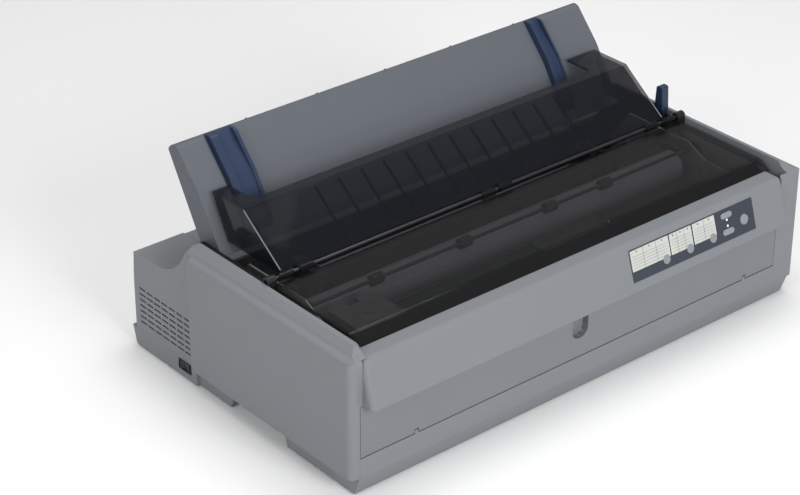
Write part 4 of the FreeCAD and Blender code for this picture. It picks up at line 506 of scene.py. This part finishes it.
# Sizes and colours that can be set
def tint(name, description, default):
    return FloatVectorProperty(name=name, description=description, subtype="COLOR", default=default,
                               min=0.0, max=1.0)


def length(name, description, default, low, high, precision=5):
    return FloatProperty(name=name, description=description, unit="LENGTH", default=default, min=low,
                         max=high, precision=precision)


def portion(name, description, default):
    return FloatProperty(name=name, description=description, subtype="FACTOR", default=default,
                         min=0.0, max=1.0)


def brightness(name, description, default, high=2000.0):
    return FloatProperty(name=name, description=description, default=default, min=0.0, max=high)


class CaseLooks(PropertyGroup):
    """Colours and grain of the mouldings"""
    colour: tint("Case colour", "Grey of the case mouldings", (0.195, 0.207, 0.221))
    flap_colour: tint("Flap colour", "Grey of the front flap", (0.178, 0.189, 0.204))
    guide_colour: tint("Guide colour", "Darker grey of the raised paper guide", (0.104, 0.113, 0.132))
    blue: tint("Blue", "Blue of the edge guides and the lever", (0.020, 0.037, 0.080))
    black: tint("Black", "Black of the inner mouldings", (0.012, 0.012, 0.014))
    cartridge: tint("Cartridge", "Dark grey of the ribbon cartridge", (0.12, 0.12, 0.13))
    grain: length("Grain", "Width of one grain of the moulded surface", 0.0009, 0.0001, 0.01)
    grain_depth: length("Grain depth", "Depth of the moulded grain", 0.00003, 0.0, 0.001)
    edge_round: length("Edge radius", "Radius that moulded edges are rounded with", 0.0009, 0.0, 0.005)


class CoverLooks(PropertyGroup):
    """Tint of the smoked covers"""
    front_tint: tint("Cover tint", "Smoke colour of the printer cover", (0.009, 0.009, 0.010))
    rear_tint: tint("Rear cover tint", "Smoke colour of the rear cover", (0.008, 0.009, 0.013))
    # Painted highlight: pale grey of the beads that stand for the light caught on the wings' front edges
    edge: tint("Smoke edge", "Grey of the wings' polished edges", (0.16, 0.165, 0.18))
    front_density: portion("Cover density", "Share of light that one skin of it stops", 0.42)
    rear_density: portion("Rear cover density", "Share of light that one skin of it stops", 0.6)


class PanelLooks(PropertyGroup):
    """Film, labels and buttons of the panel"""
    film: tint("Film", "Dark blue grey of the panel's film", (0.026, 0.035, 0.050))
    card: tint("Label windows", "Cream of the label windows", (0.52, 0.53, 0.50))
    line: tint("Label lines", "Grey green of the plain lines on the labels", (0.20, 0.22, 0.20))
    key: tint("Buttons", "Pale grey of the button caps", (0.24, 0.25, 0.27))
    film_thick: length("Film thickness", "Thickness of the panel's film", 0.0008, 0.0001, 0.003)
    card_thick: length("Label relief", "How far the label windows stand off the film", 0.00008, 0.00001,
                       0.001, 6)


class InsideLooks(PropertyGroup):
    """Metals, rubber, nylon and boards inside"""
    dark_steel: tint("Dark steel", "Black steel of the covers' bar and the shafts", (0.09, 0.09, 0.10))
    roller: tint("Platen", "Grey of the platen's rubber", (0.26, 0.25, 0.30))
    rubber: tint("Rubber", "Black of rollers, belt and feet", (0.025, 0.025, 0.025))
    steel: tint("Steel", "Ground steel", (0.66, 0.66, 0.68))
    plate: tint("Plate", "Zinc plated sheet", (0.50, 0.51, 0.50))
    nylon: tint("Nylon", "Natural nylon of the gears", (0.74, 0.72, 0.64))
    board: tint("Board", "Green of the circuit boards", (0.012, 0.055, 0.025))
    alloy: tint("Alloy", "Cast alloy of the print head", (0.55, 0.55, 0.57))
    pin_pairs: IntProperty(name="Contact pairs", description="Pairs of contacts in the wide rear socket",
                           default=18, min=2, max=30)


class StageLooks(PropertyGroup):
    """Camera, floor and lights"""
    eye: FloatVectorProperty(name="Camera", description="Where the camera stands", subtype="TRANSLATION",
                             unit="LENGTH", default=(-1.49176, -1.65996, 1.34774))
    sight: FloatVectorProperty(name="Line of sight", description="The way the camera looks",
                               subtype="DIRECTION", default=(0.5592, 0.6684, -0.4904))
    lens: FloatProperty(name="Lens", description="Focal length on a 36 mm sensor, in millimetres",
                        default=105.65, min=10.0, max=400.0)
    floor: tint("Floor", "Pale floor", (0.93, 0.93, 0.93))
    reach: length("Floor reach", "Half width of the floor", 6.0, 1.0, 50.0, 2)
    sky: brightness("Room light", "Strength of the even light all round", 0.35, 5.0)
    key_watts: brightness("Main light", "Power of the large light overhead, in watts", 24.0)
    front_watts: brightness("Front light", "Power of the light in front, in watts", 54.0)
    side_watts: brightness("Side light", "Power of the light on the left, in watts", 25.0)


# Pieces
class PRINTER_OT_case(Operator):
    """Finishes the case, its tray, the fascia and the flap as textured mouldings"""
    bl_idname = "printer.case"
    bl_label = "Case"

    def execute(self, context):
        looks = context.scene.printer_case
        case = moulded("case_plastic", looks.colour, looks)
        flap = moulded("flap_plastic", looks.flap_colour, looks)
        finish_nodes(case, ("upper_case", "lower_case", "front_fascia"))
        finish_nodes(flap, ("front_cover",))
        return {"FINISHED"}


class PRINTER_OT_feet(Operator):
    """Finishes the four rubber feet"""
    bl_idname = "printer.feet"
    bl_label = "Feet"

    def execute(self, context):
        finish_nodes(rubber("foot_rubber", context.scene.printer_inside.rubber), ("rubber_feet",))
        return {"FINISHED"}


class PRINTER_OT_covers(Operator):
    """Finishes the two smoked covers and the dark bar that they hang on"""
    bl_idname = "printer.covers"
    bl_label = "Smoked covers"

    BAND = millimetres(half_thick=0.5, above_foot=7.4, in_from_end=7.0, in_from_side=4.6, before_bar=6.2,
                       behind_front=24.0, half_at_hinge=4.2, half_at_side=1.3, slope_in=3.4,
                       slope_drop=0.2, slope_deep=14.0, slope_high=8.9, tucked=0.3)
    # Half the width of the band on the slope, as a share of the slope
    SLOPE_SHARE = 0.46
    BEAD = millimetres(radius=0.8, behind_bar=5.6, below_bar=1.2, deep=60.0, below_top=0.9,
                       in_from_side=0.9)

    def execute(self, context):
        looks, case = context.scene.printer_covers, context.scene.printer_case
        inside = context.scene.printer_inside
        front = smoked("smoke_front", looks.front_tint, looks.front_density, mirrored=0.42)
        finish_nodes(front, ("printer_cover",))
        finish_nodes(smoked("smoke_rear", looks.rear_tint, looks.rear_density), ("rear_cover",))
        finish_nodes(drawn_steel("hinge_steel", inside.dark_steel, rough=0.3), ("hinge_bar",))
        # Black bands under the cover; the one on the sloping front is painted shade of its bend
        black = moulded("seal_black", case.black, case, rough=0.35, edge=False, relief=0.2)
        dress(smooth(self.dark_bands()), black, body_of("printer_cover"), "black_plastic")
        # Painted highlight: pale grey beads along the wings' front edges stand for the light that these
        # edges catch
        edge = moulded("smoke_edge", looks.edge, case, rough=0.25, edge=False, relief=0.1)
        dress(smooth(self.wing_beads(), ROUND_EDGE), edge, body_of("rear_cover"), "smoked_plastic")
        return {"FINISHED"}

    def dark_bands(self):
        """Black bands under the rim of the printer cover: straight bars along the hinge and along both
        sides, and one laid flat against the underside of the sloping front. The one on the slope is
        painted shade: it darkens the cover's bend."""
        band = self.BAND
        low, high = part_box("printer_cover")
        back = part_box("hinge_bar")[0].y - band.before_bar
        level = low.z + band.above_foot
        half = np.array([high.x - band.in_from_end, 0.0, 0.0])
        slope = np.array([0.0, band.slope_deep, band.slope_high])
        lean = np.array([0.0, -band.slope_high, band.slope_deep]) / np.linalg.norm(slope)
        foot = np.array([0.0, low.y + band.slope_in, low.z - band.slope_drop])
        at_hinge = np.array([0.0, back, level])
        at_slope = foot + slope * 0.5 - lean * band.tucked
        # The second bar, flat under the sloping front, is painted shade of the cover's bend
        bars = [straight_bar(at_hinge - half, at_hinge + half, band.half_at_hinge, band.half_thick),
                straight_bar(at_slope - half, at_slope + half,
                             np.linalg.norm(slope) * self.SLOPE_SHARE, band.half_thick, lean)]
        for x in (band.in_from_side - high.x, high.x - band.in_from_side):
            bars.append(straight_bar((x, low.y + band.behind_front, level), (x, back, level),
                                     band.half_at_side, band.half_thick))
        return gather("cover_seals", bars)

    def wing_beads(self):
        """Painted highlight on the front edges of the two wings: round pale grey beads along the leaning
        edge, where the edges catch the light.
        """
        bead = self.BEAD
        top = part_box("rear_cover")[1]
        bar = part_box("hinge_bar")[1]
        foot = bar.y + bead.behind_bar
        beads = []
        for x in (bead.in_from_side - top.x, top.x - bead.in_from_side):
            beads.append(straight_bar((x, foot, bar.z - bead.below_bar),
                                      (x, foot + bead.deep, top.z - bead.below_top),
                                      bead.radius, bead.radius, SIDEWAYS, 2.0))
        return gather("wing_beads", beads)


class PRINTER_OT_guide(Operator):
    """Finishes the raised paper guide with its blue edge guides, and the release lever"""
    bl_idname = "printer.guide"
    bl_label = "Paper guide"

    def execute(self, context):
        looks = context.scene.printer_case
        finish_nodes(moulded("guide_plastic", looks.guide_colour, looks), ("paper_guide",))
        finish_nodes(moulded("blue_plastic", looks.blue, looks, rough=0.4),
                     ("edge_guide_left", "edge_guide_right", "release_lever"))
        return {"FINISHED"}


class PRINTER_OT_panel(Operator):
    """Finishes the panel's film, its label windows with plain lines and dots, and the two lamps"""
    bl_idname = "printer.panel"
    bl_label = "Panel"

    # Left and right edge of each window along the film in millimetres, and the dots over it
    WINDOWS = ((1.2, 57.3, 3), (58.8, 91.8, 3), (93.6, 127.2, 2))
    WINDOW = millimetres(top=1.2, bottom=24.0, corner=0.8)
    DOT = millimetres(radius=0.9, drop=2.3, corner=0.88)
    DIVIDER = millimetres(half=0.2, corner=0.15)
    LINE = millimetres(first=7.0, pitch=3.1, inset=2.4, wide=0.45, corner=0.2)
    LINES = 5
    LAMP = millimetres(radius=1.3, high=0.7, upper=12.6, lower=19.4)
    LAMP_COLOUR = (0.85, 0.9, 0.88)

    def execute(self, context):
        looks = context.scene.printer_panel
        face = Face(looks.film_thick)
        finish_nodes(printed_film("panel_film", looks.film), ("panel_overlay",))
        card = printed_film("label_card", looks.card, rough=0.5)
        ink = printed_film("label_ink", looks.line, rough=0.5)
        dark = printed_film("label_dot", looks.film, rough=0.5)
        cards, lines, dots = self.labels(face, looks.card_thick)
        dress(gather("label_windows", cards), card, "root", "panel_film")
        dress(gather("label_lines", lines), ink, "root", "panel_film")
        dress(gather("label_dots", dots), dark, "root", "panel_film")
        lamps = smooth(gather("panel_lamps", self.lamps(face)))
        dress(lamps, glowing("lamp_lens", self.LAMP_COLOUR, strength=0.25), "root", "panel_film")
        return {"FINISHED"}

    def labels(self, face, step):
        """The windows, the plain lines on them, and the dots and dividers, each a step or two high."""
        window, dot, divider, line = self.WINDOW, self.DOT, self.DIVIDER, self.LINE
        down = (window.top, window.bottom)
        cards, lines, dots = [], [], []
        for left, right, count in self.WINDOWS:
            left, right = left * MM, right * MM
            cards.append(face.patch((left, right), down, (-step, step), window.corner))
            pitch = (right - left) / count
            for number in range(count):
                x, y = left + pitch * (number + 0.5), window.top + dot.drop
                dots.append(face.patch((x - dot.radius, x + dot.radius),
                                       (y - dot.radius, y + dot.radius), (0.0, step * 1.8), dot.corner))
                if number:
                    x = left + pitch * number
                    dots.append(face.patch((x - divider.half, x + divider.half), down, (0.0, step * 1.5),
                                           divider.corner))
            for row in range(self.LINES):
                y = window.top + line.first + line.pitch * row
                lines.append(face.patch((left + line.inset, right - line.inset), (y, y + line.wide),
                                        (0.0, step * 1.4), line.corner))
        return cards, lines, dots

    def lamps(self, face):
        """Two small domes, each a quarter ellipse turned about the face's outward direction:
        radius r·cos t, height h·sin t."""
        lamp = self.LAMP
        middle = face.locate("load_eject_button")[0]
        rise = np.linspace(0.0, np.pi / 2.0 * 0.98, 8)[:, None]
        turn = around(SIDES.lamp)[None, :]
        domes = []
        for down in (lamp.upper, lamp.lower):
            points = face.at(middle + lamp.radius * np.cos(rise) * np.cos(turn),
                             down + lamp.radius * np.cos(rise) * np.sin(turn), lamp.high * np.sin(rise))
            domes.append(grid_mesh(points, closed=True))
        return domes


class PRINTER_OT_buttons(Operator):
    """Makes the six button caps, crowned and rolled over at their rims"""
    bl_idname = "printer.buttons"
    bl_label = "Buttons"

    CAP = millimetres(rim=1.2, proud=1.0, roll=0.6, crown=0.2, flange_back=3.4, flange_front=2.6,
                      wide_from=7.0, wide_half=3.3)
    # Rings of the crown: shares of the way to the middle, and of the crown's height
    CROWN_IN = np.array([0.35, 0.7, 0.97])
    CROWN_UP = np.array([0.5, 0.85, 1.0])

    def execute(self, context):
        looks, case = context.scene.printer_panel, context.scene.printer_case
        face = Face(looks.film_thick)
        material = moulded("key_plastic", looks.key, case, rough=0.42, dust=0.03, coarse=0.5, edge=False)
        for name in ("font_button", "pitch_button", "tear_off_button", "load_eject_button",
                     "line_feed_button", "pause_button"):
            self.cap(name, face, material)
        return {"FINISHED"}

    def cap(self, name, face, material):
        """A crowned cap: stadium outlines that shrink as they rise. The rim rolls in on a quarter circle
        and the top rises a little more towards the middle. A flange lies behind the face."""
        cap = self.CAP
        low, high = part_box(name)
        along, down = face.locate(name)
        half_x = (high.x - low.x) / 2.0 - cap.rim
        half_y = cap.wide_half if half_x > cap.wide_from else half_x
        bend = np.linspace(0.0, np.pi / 2.0, 6)
        shoulder = cap.proud - cap.crown
        inset = np.concatenate([[-cap.rim, -cap.rim, 0.0, 0.0], cap.roll * (1.0 - np.cos(bend)),
                                cap.roll + (half_y - cap.roll) * self.CROWN_IN])
        level = np.concatenate([[-cap.flange_back, -cap.flange_front, -cap.flange_front, 0.0],
                                shoulder - cap.roll + cap.roll * np.sin(bend),
                                shoulder + cap.crown * self.CROWN_UP])
        rows = []
        for shrink, out in zip(inset, level):
            outline = stadium(half_x - shrink, half_y - shrink, SIDES.cap)
            rows.append(face.at(along + outline[:, 0], down + outline[:, 1], out))
        piece = gather(name + "_cap", [grid_mesh(np.array(rows), closed=True)])
        dress(smooth(piece), material, body_of(name), slot_of(name), name)


class PRINTER_OT_inner_mouldings(Operator):
    """Finishes the black mouldings round the bay, the knob, the rocker and the ribbon's cartridge"""
    bl_idname = "printer.inner_mouldings"
    bl_label = "Black mouldings"

    def execute(self, context):
        looks = context.scene.printer_case
        black = moulded("black_plastic", looks.black, looks, rough=0.42, relief=0.15)
        finish_nodes(black, ("inner_rail_left", "inner_rail_right", "tear_off_bar", "feed_knob",
                             "rocker_switch", "switch_frame", "power_inlet", "carriage", "tractor_left",
                             "tractor_right"))
        satin = printed_film("cartridge_plastic", looks.cartridge, rough=0.55)
        finish_nodes(satin, ("ribbon_cartridge",))
        return {"FINISHED"}


class PRINTER_OT_paper_path(Operator):
    """Finishes the platen, the bail with its rollers, the shafts, and the gears that turn them"""
    bl_idname = "printer.paper_path"
    bl_label = "Platen and gears"

    def execute(self, context):
        looks = context.scene.printer_inside
        finish_nodes(rubber("platen_rubber", looks.roller, streaked=0.8), ("platen",), ROUND_EDGE)
        finish_nodes(rubber("roller_rubber", looks.rubber), ("bail_rollers", "drive_belt"), ROUND_EDGE)
        finish_nodes(drawn_steel("ground_steel", looks.steel),
                     ("carriage_shaft", "platen_shaft", "screws"), ROUND_EDGE)
        finish_nodes(drawn_steel("oiled_steel", looks.dark_steel, rough=0.4),
                     ("tractor_shaft", "tractor_guide_shaft", "paper_bail"), ROUND_EDGE)
        nylon = moulded("gear_nylon", looks.nylon, context.scene.printer_case, rough=0.35, coarse=0.5,
                        edge=False)
        finish_nodes(nylon, ("platen_gear", "idler_gear", "feed_pinion", "tractor_idler", "tractor_gear",
                             "belt_pulley_left", "belt_pulley_right"))
        return {"FINISHED"}


class PRINTER_OT_chassis(Operator):
    """Finishes the plated frames, rails, motors and boards"""
    bl_idname = "printer.chassis"
    bl_label = "Chassis"

    def execute(self, context):
        looks = context.scene.printer_inside
        plate = zinc_plate("zinc_plate", looks.plate)
        paint_nodes(plate, ("carriage_rail", "front_paper_pan", "power_supply", "parallel_socket",
                            "serial_socket"))
        finish_nodes(plate, ("side_frame_left", "side_frame_right", "feed_motor", "carriage_motor",
                             "pulley_post"))
        alloy = drawn_steel("head_alloy", looks.alloy, rough=0.45, squeeze=(1.0, 1.0, 1.0))
        finish_nodes(alloy, ("print_head",))
        paint_nodes(printed_board("solder_mask", looks.board), ("main_board", "panel_board"))
        return {"FINISHED"}


class PRINTER_OT_ribbon(Operator):
    """Makes the inked ribbon that runs from the cartridge round the head's nose"""
    bl_idname = "printer.ribbon"
    bl_label = "Ribbon"

    RIBBON = millimetres(inset=4.0, clear=0.5, above_head=4.0, half_high=6.5, thick=0.15)
    NOSE_SHARE = 0.42

    def execute(self, context):
        ribbon = self.RIBBON
        low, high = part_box("ribbon_cartridge")
        head_low, head_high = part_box("print_head")
        span = np.linspace(-1.0, 1.0, 41)
        nose, back = head_high.y + ribbon.clear, high.y + ribbon.clear
        x = (low.x + high.x) / 2.0 + ((high.x - low.x) / 2.0 - ribbon.inset) * span
        y = back + (nose - back) * np.exp(-(span / self.NOSE_SHARE) ** 4)
        z = np.full_like(x, (head_low.z + head_high.z) / 2.0 + ribbon.above_head)
        section = np.array([[0.0, -ribbon.half_high], [0.0, ribbon.half_high],
                            [ribbon.thick, ribbon.half_high], [ribbon.thick, -ribbon.half_high]])
        piece = gather("ink_ribbon", [carried(np.stack([x, y, z], -1), section)])
        cloth = rubber("inked_cloth", context.scene.printer_case.black, streaked=0.2)
        dress(smooth(piece), cloth, body_of("print_head"), "black_plastic")
        return {"FINISHED"}


class PRINTER_OT_rear_sockets(Operator):
    """Makes the contacts and wire clips of the rear sockets, and the blades of the power inlet"""
    bl_idname = "printer.rear_sockets"
    bl_label = "Rear sockets"

    CONTACT = millimetres(half_wide=0.35, half_thick=0.2, from_tongue=1.55, tongue_up=0.15)
    CONTACT_DEPTHS = np.array([9.0, 6.0, 4.2]) * MM
    CONTACTS_WIDE = 0.58
    BLADE = millimetres(half_wide=1.0, half_high=2.2)
    BLADE_DEPTHS = np.array([15.0, 8.0, 3.0]) * MM
    # Across and up from the inlet's middle, in millimetres
    BLADE_PLACES = ((-7.0, -1.5), (7.0, -1.5), (0.0, 2.5))
    CLIP = millimetres(radius=0.6, beside=1.6, sunk=1.0, out=4.0, half_high=6.0)
    BRASS = (0.75, 0.56, 0.25)

    def execute(self, context):
        looks = context.scene.printer_inside
        brass = drawn_steel("contact_gold", self.BRASS, rough=0.3)
        steel = drawn_steel("clip_steel", looks.steel, rough=0.25)
        dress(self.wide_contacts(looks.pin_pairs), brass, "root", "bright_steel")
        dress(self.blades(), steel, "root", "bright_steel")
        dress(smooth(self.clips(), ROUND_EDGE), steel, "root", "bright_steel")
        return {"FINISHED"}

    def prongs(self, name, places, y, outline):
        """Straight prongs at places across and up, along the given distances in depth."""
        return gather(name, [carried(np.stack([np.full_like(y, x), y, np.full_like(y, z)], -1), outline)
                             for x, z in places])

    def wide_contacts(self, pairs):
        """Two rows of flat contacts: small rounded bars carried straight out of the tongue."""
        contact = self.CONTACT
        low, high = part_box("parallel_socket")
        half = (high.x - low.x) * self.CONTACTS_WIDE / 2.0
        centre_x, centre_z = (low.x + high.x) / 2.0, (low.z + high.z) / 2.0 + contact.tongue_up
        places = [(centre_x + across, centre_z + up)
                  for up in (-contact.from_tongue, contact.from_tongue)
                  for across in np.linspace(-half, half, pairs)]
        return self.prongs("socket_contacts", places, high.y - self.CONTACT_DEPTHS,
                           rounded_outline(contact.half_wide, contact.half_thick, 4.0, SIDES.contact))

    def blades(self):
        """Three flat blades, rounded bars that stand in the inlet's well."""
        low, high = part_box("power_inlet")
        centre_x, centre_z = (low.x + high.x) / 2.0, (low.z + high.z) / 2.0
        places = [(centre_x + across * MM, centre_z + up * MM) for across, up in self.BLADE_PLACES]
        return self.prongs("inlet_blades", places, high.y - self.BLADE_DEPTHS,
                           rounded_outline(self.BLADE.half_wide, self.BLADE.half_high, 5.0, SIDES.blade))

    def clips(self):
        """Two sprung wire clips: a round wire carried along three sides of a rounded square."""
        clip = self.CLIP
        low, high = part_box("parallel_socket")
        turn = np.linspace(-np.pi / 2.0, np.pi / 2.0, 25)
        wire = rounded_outline(clip.radius, clip.radius, 2.0, SIDES.wire)
        y = high.y - clip.sunk + clip.out * np.abs(np.cos(turn)) ** 0.5
        z = (low.z + high.z) / 2.0 + clip.half_high * np.sign(np.sin(turn)) * np.abs(np.sin(turn)) ** 0.6
        return gather("socket_clips", [carried(np.stack([np.full_like(y, x), y, z], -1), wire, SIDEWAYS)
                                       for x in (low.x - clip.beside, high.x + clip.beside)])


class PRINTER_OT_stage(Operator):
    """Lays the pale floor, sets the soft lights and stands the camera where the photograph's stood"""
    bl_idname = "printer.stage"
    bl_label = "Stage"

    # Name, place and width of each round light, and the setting that holds its power
    LIGHTS = (("overhead", (0.3, 0.2, 2.2), 1.8, "key_watts"),
              ("front", (-0.3, -2.8, 1.4), 1.4, "front_watts"),
              ("left", (-2.6, -0.6, 1.6), 1.6, "side_watts"))
    AIM = Vector((0.0, 0.0, 0.1))
    SENSOR_WIDTH = 36.0
    SIGHT_RANGE = (0.05, 50.0)
    WHITE = (1.0, 1.0, 1.0, 1.0)

    def execute(self, context):
        looks = context.scene.printer_stage
        self.floor(looks)
        world = bpy.data.worlds.new("even_room")
        world.use_nodes = True
        background = world.node_tree.nodes["Background"].inputs
        background["Color"].default_value = self.WHITE
        background["Strength"].default_value = looks.sky
        context.scene.world = world
        context.scene.view_settings.view_transform = "Standard"
        for name, place, width, setting in self.LIGHTS:
            lamp = place_object(name, bpy.data.lights.new(name, "AREA"))
            lamp.data.shape, lamp.data.size, lamp.data.energy = "DISK", width, getattr(looks, setting)
            self.aim(lamp, Vector(place), self.AIM - Vector(place))
        camera = place_object("camera", bpy.data.cameras.new("camera"))
        camera.data.lens, camera.data.sensor_width = looks.lens, self.SENSOR_WIDTH
        camera.data.clip_start, camera.data.clip_end = self.SIGHT_RANGE
        self.aim(camera, looks.eye, Vector(looks.sight))
        context.scene.camera = camera
        return {"FINISHED"}

    @staticmethod
    def aim(item, place, direction):
        """Stands a lamp or the camera at a place and points it along a direction."""
        item.location = place
        item.rotation_mode = "QUATERNION"
        item.rotation_quaternion = direction.to_track_quat("-Z", "Y")

    @staticmethod
    def floor(looks):
        """A floor that sweeps up behind: flat to the bend, then a quarter circle, then straight up."""
        along = np.linspace(-looks.reach, looks.reach, 5)
        bend = looks.reach / 3.0
        turn = np.linspace(0.0, np.pi / 2.0, 16)
        y = np.concatenate([[-looks.reach], looks.reach / 2.0 + bend * np.sin(turn),
                            [looks.reach / 2.0 + bend]])
        z = np.concatenate([[0.0], bend * (1.0 - np.cos(turn)), [bend * 2.5]])
        mesh = grid_mesh(np.stack(np.broadcast_arrays(along[:, None], y[None, :], z[None, :]), -1))
        mesh.flip_normals()
        mesh.polygons.foreach_set("use_smooth", np.ones(len(mesh.polygons), bool))
        mesh.materials.append(plain_floor("floor", looks.floor))
        place_object("floor", mesh)


class PRINTER_PT_sidebar(Panel):
    """Lists the pieces of the printer and their sizes and colours"""
    bl_idname = "PRINTER_PT_sidebar"
    bl_label = "Dot matrix printer"
    bl_space_type = "VIEW_3D"
    bl_region_type = "UI"
    bl_category = "Printer"

    def draw(self, context):
        for group, owner in GROUPS.items():
            box = self.layout.box()
            box.label(text=owner.__doc__)
            for name in owner.__annotations__:
                box.prop(getattr(context.scene, group), name)
        for operator in OPERATORS:
            self.layout.operator(operator.bl_idname)


GROUPS = {"printer_case": CaseLooks, "printer_covers": CoverLooks, "printer_panel": PanelLooks,
          "printer_inside": InsideLooks, "printer_stage": StageLooks}
OPERATORS = (PRINTER_OT_case, PRINTER_OT_feet, PRINTER_OT_covers, PRINTER_OT_guide, PRINTER_OT_panel,
             PRINTER_OT_buttons, PRINTER_OT_inner_mouldings, PRINTER_OT_paper_path, PRINTER_OT_chassis,
             PRINTER_OT_ribbon, PRINTER_OT_rear_sockets, PRINTER_OT_stage)
CLASSES = tuple(GROUPS.values()) + OPERATORS + (PRINTER_PT_sidebar,)


def register():
    for item in CLASSES:
        bpy.utils.register_class(item)
    for group, owner in GROUPS.items():
        setattr(bpy.types.Scene, group, PointerProperty(type=owner))


def unregister():
    for group in GROUPS:
        delattr(bpy.types.Scene, group)
    for item in reversed(CLASSES):
        bpy.utils.unregister_class(item)


def main():
    register()
    for operator in OPERATORS:
        family, name = operator.bl_idname.split(".")
        getattr(getattr(bpy.ops, family), name)()


if __name__ == "__main__":
    main()
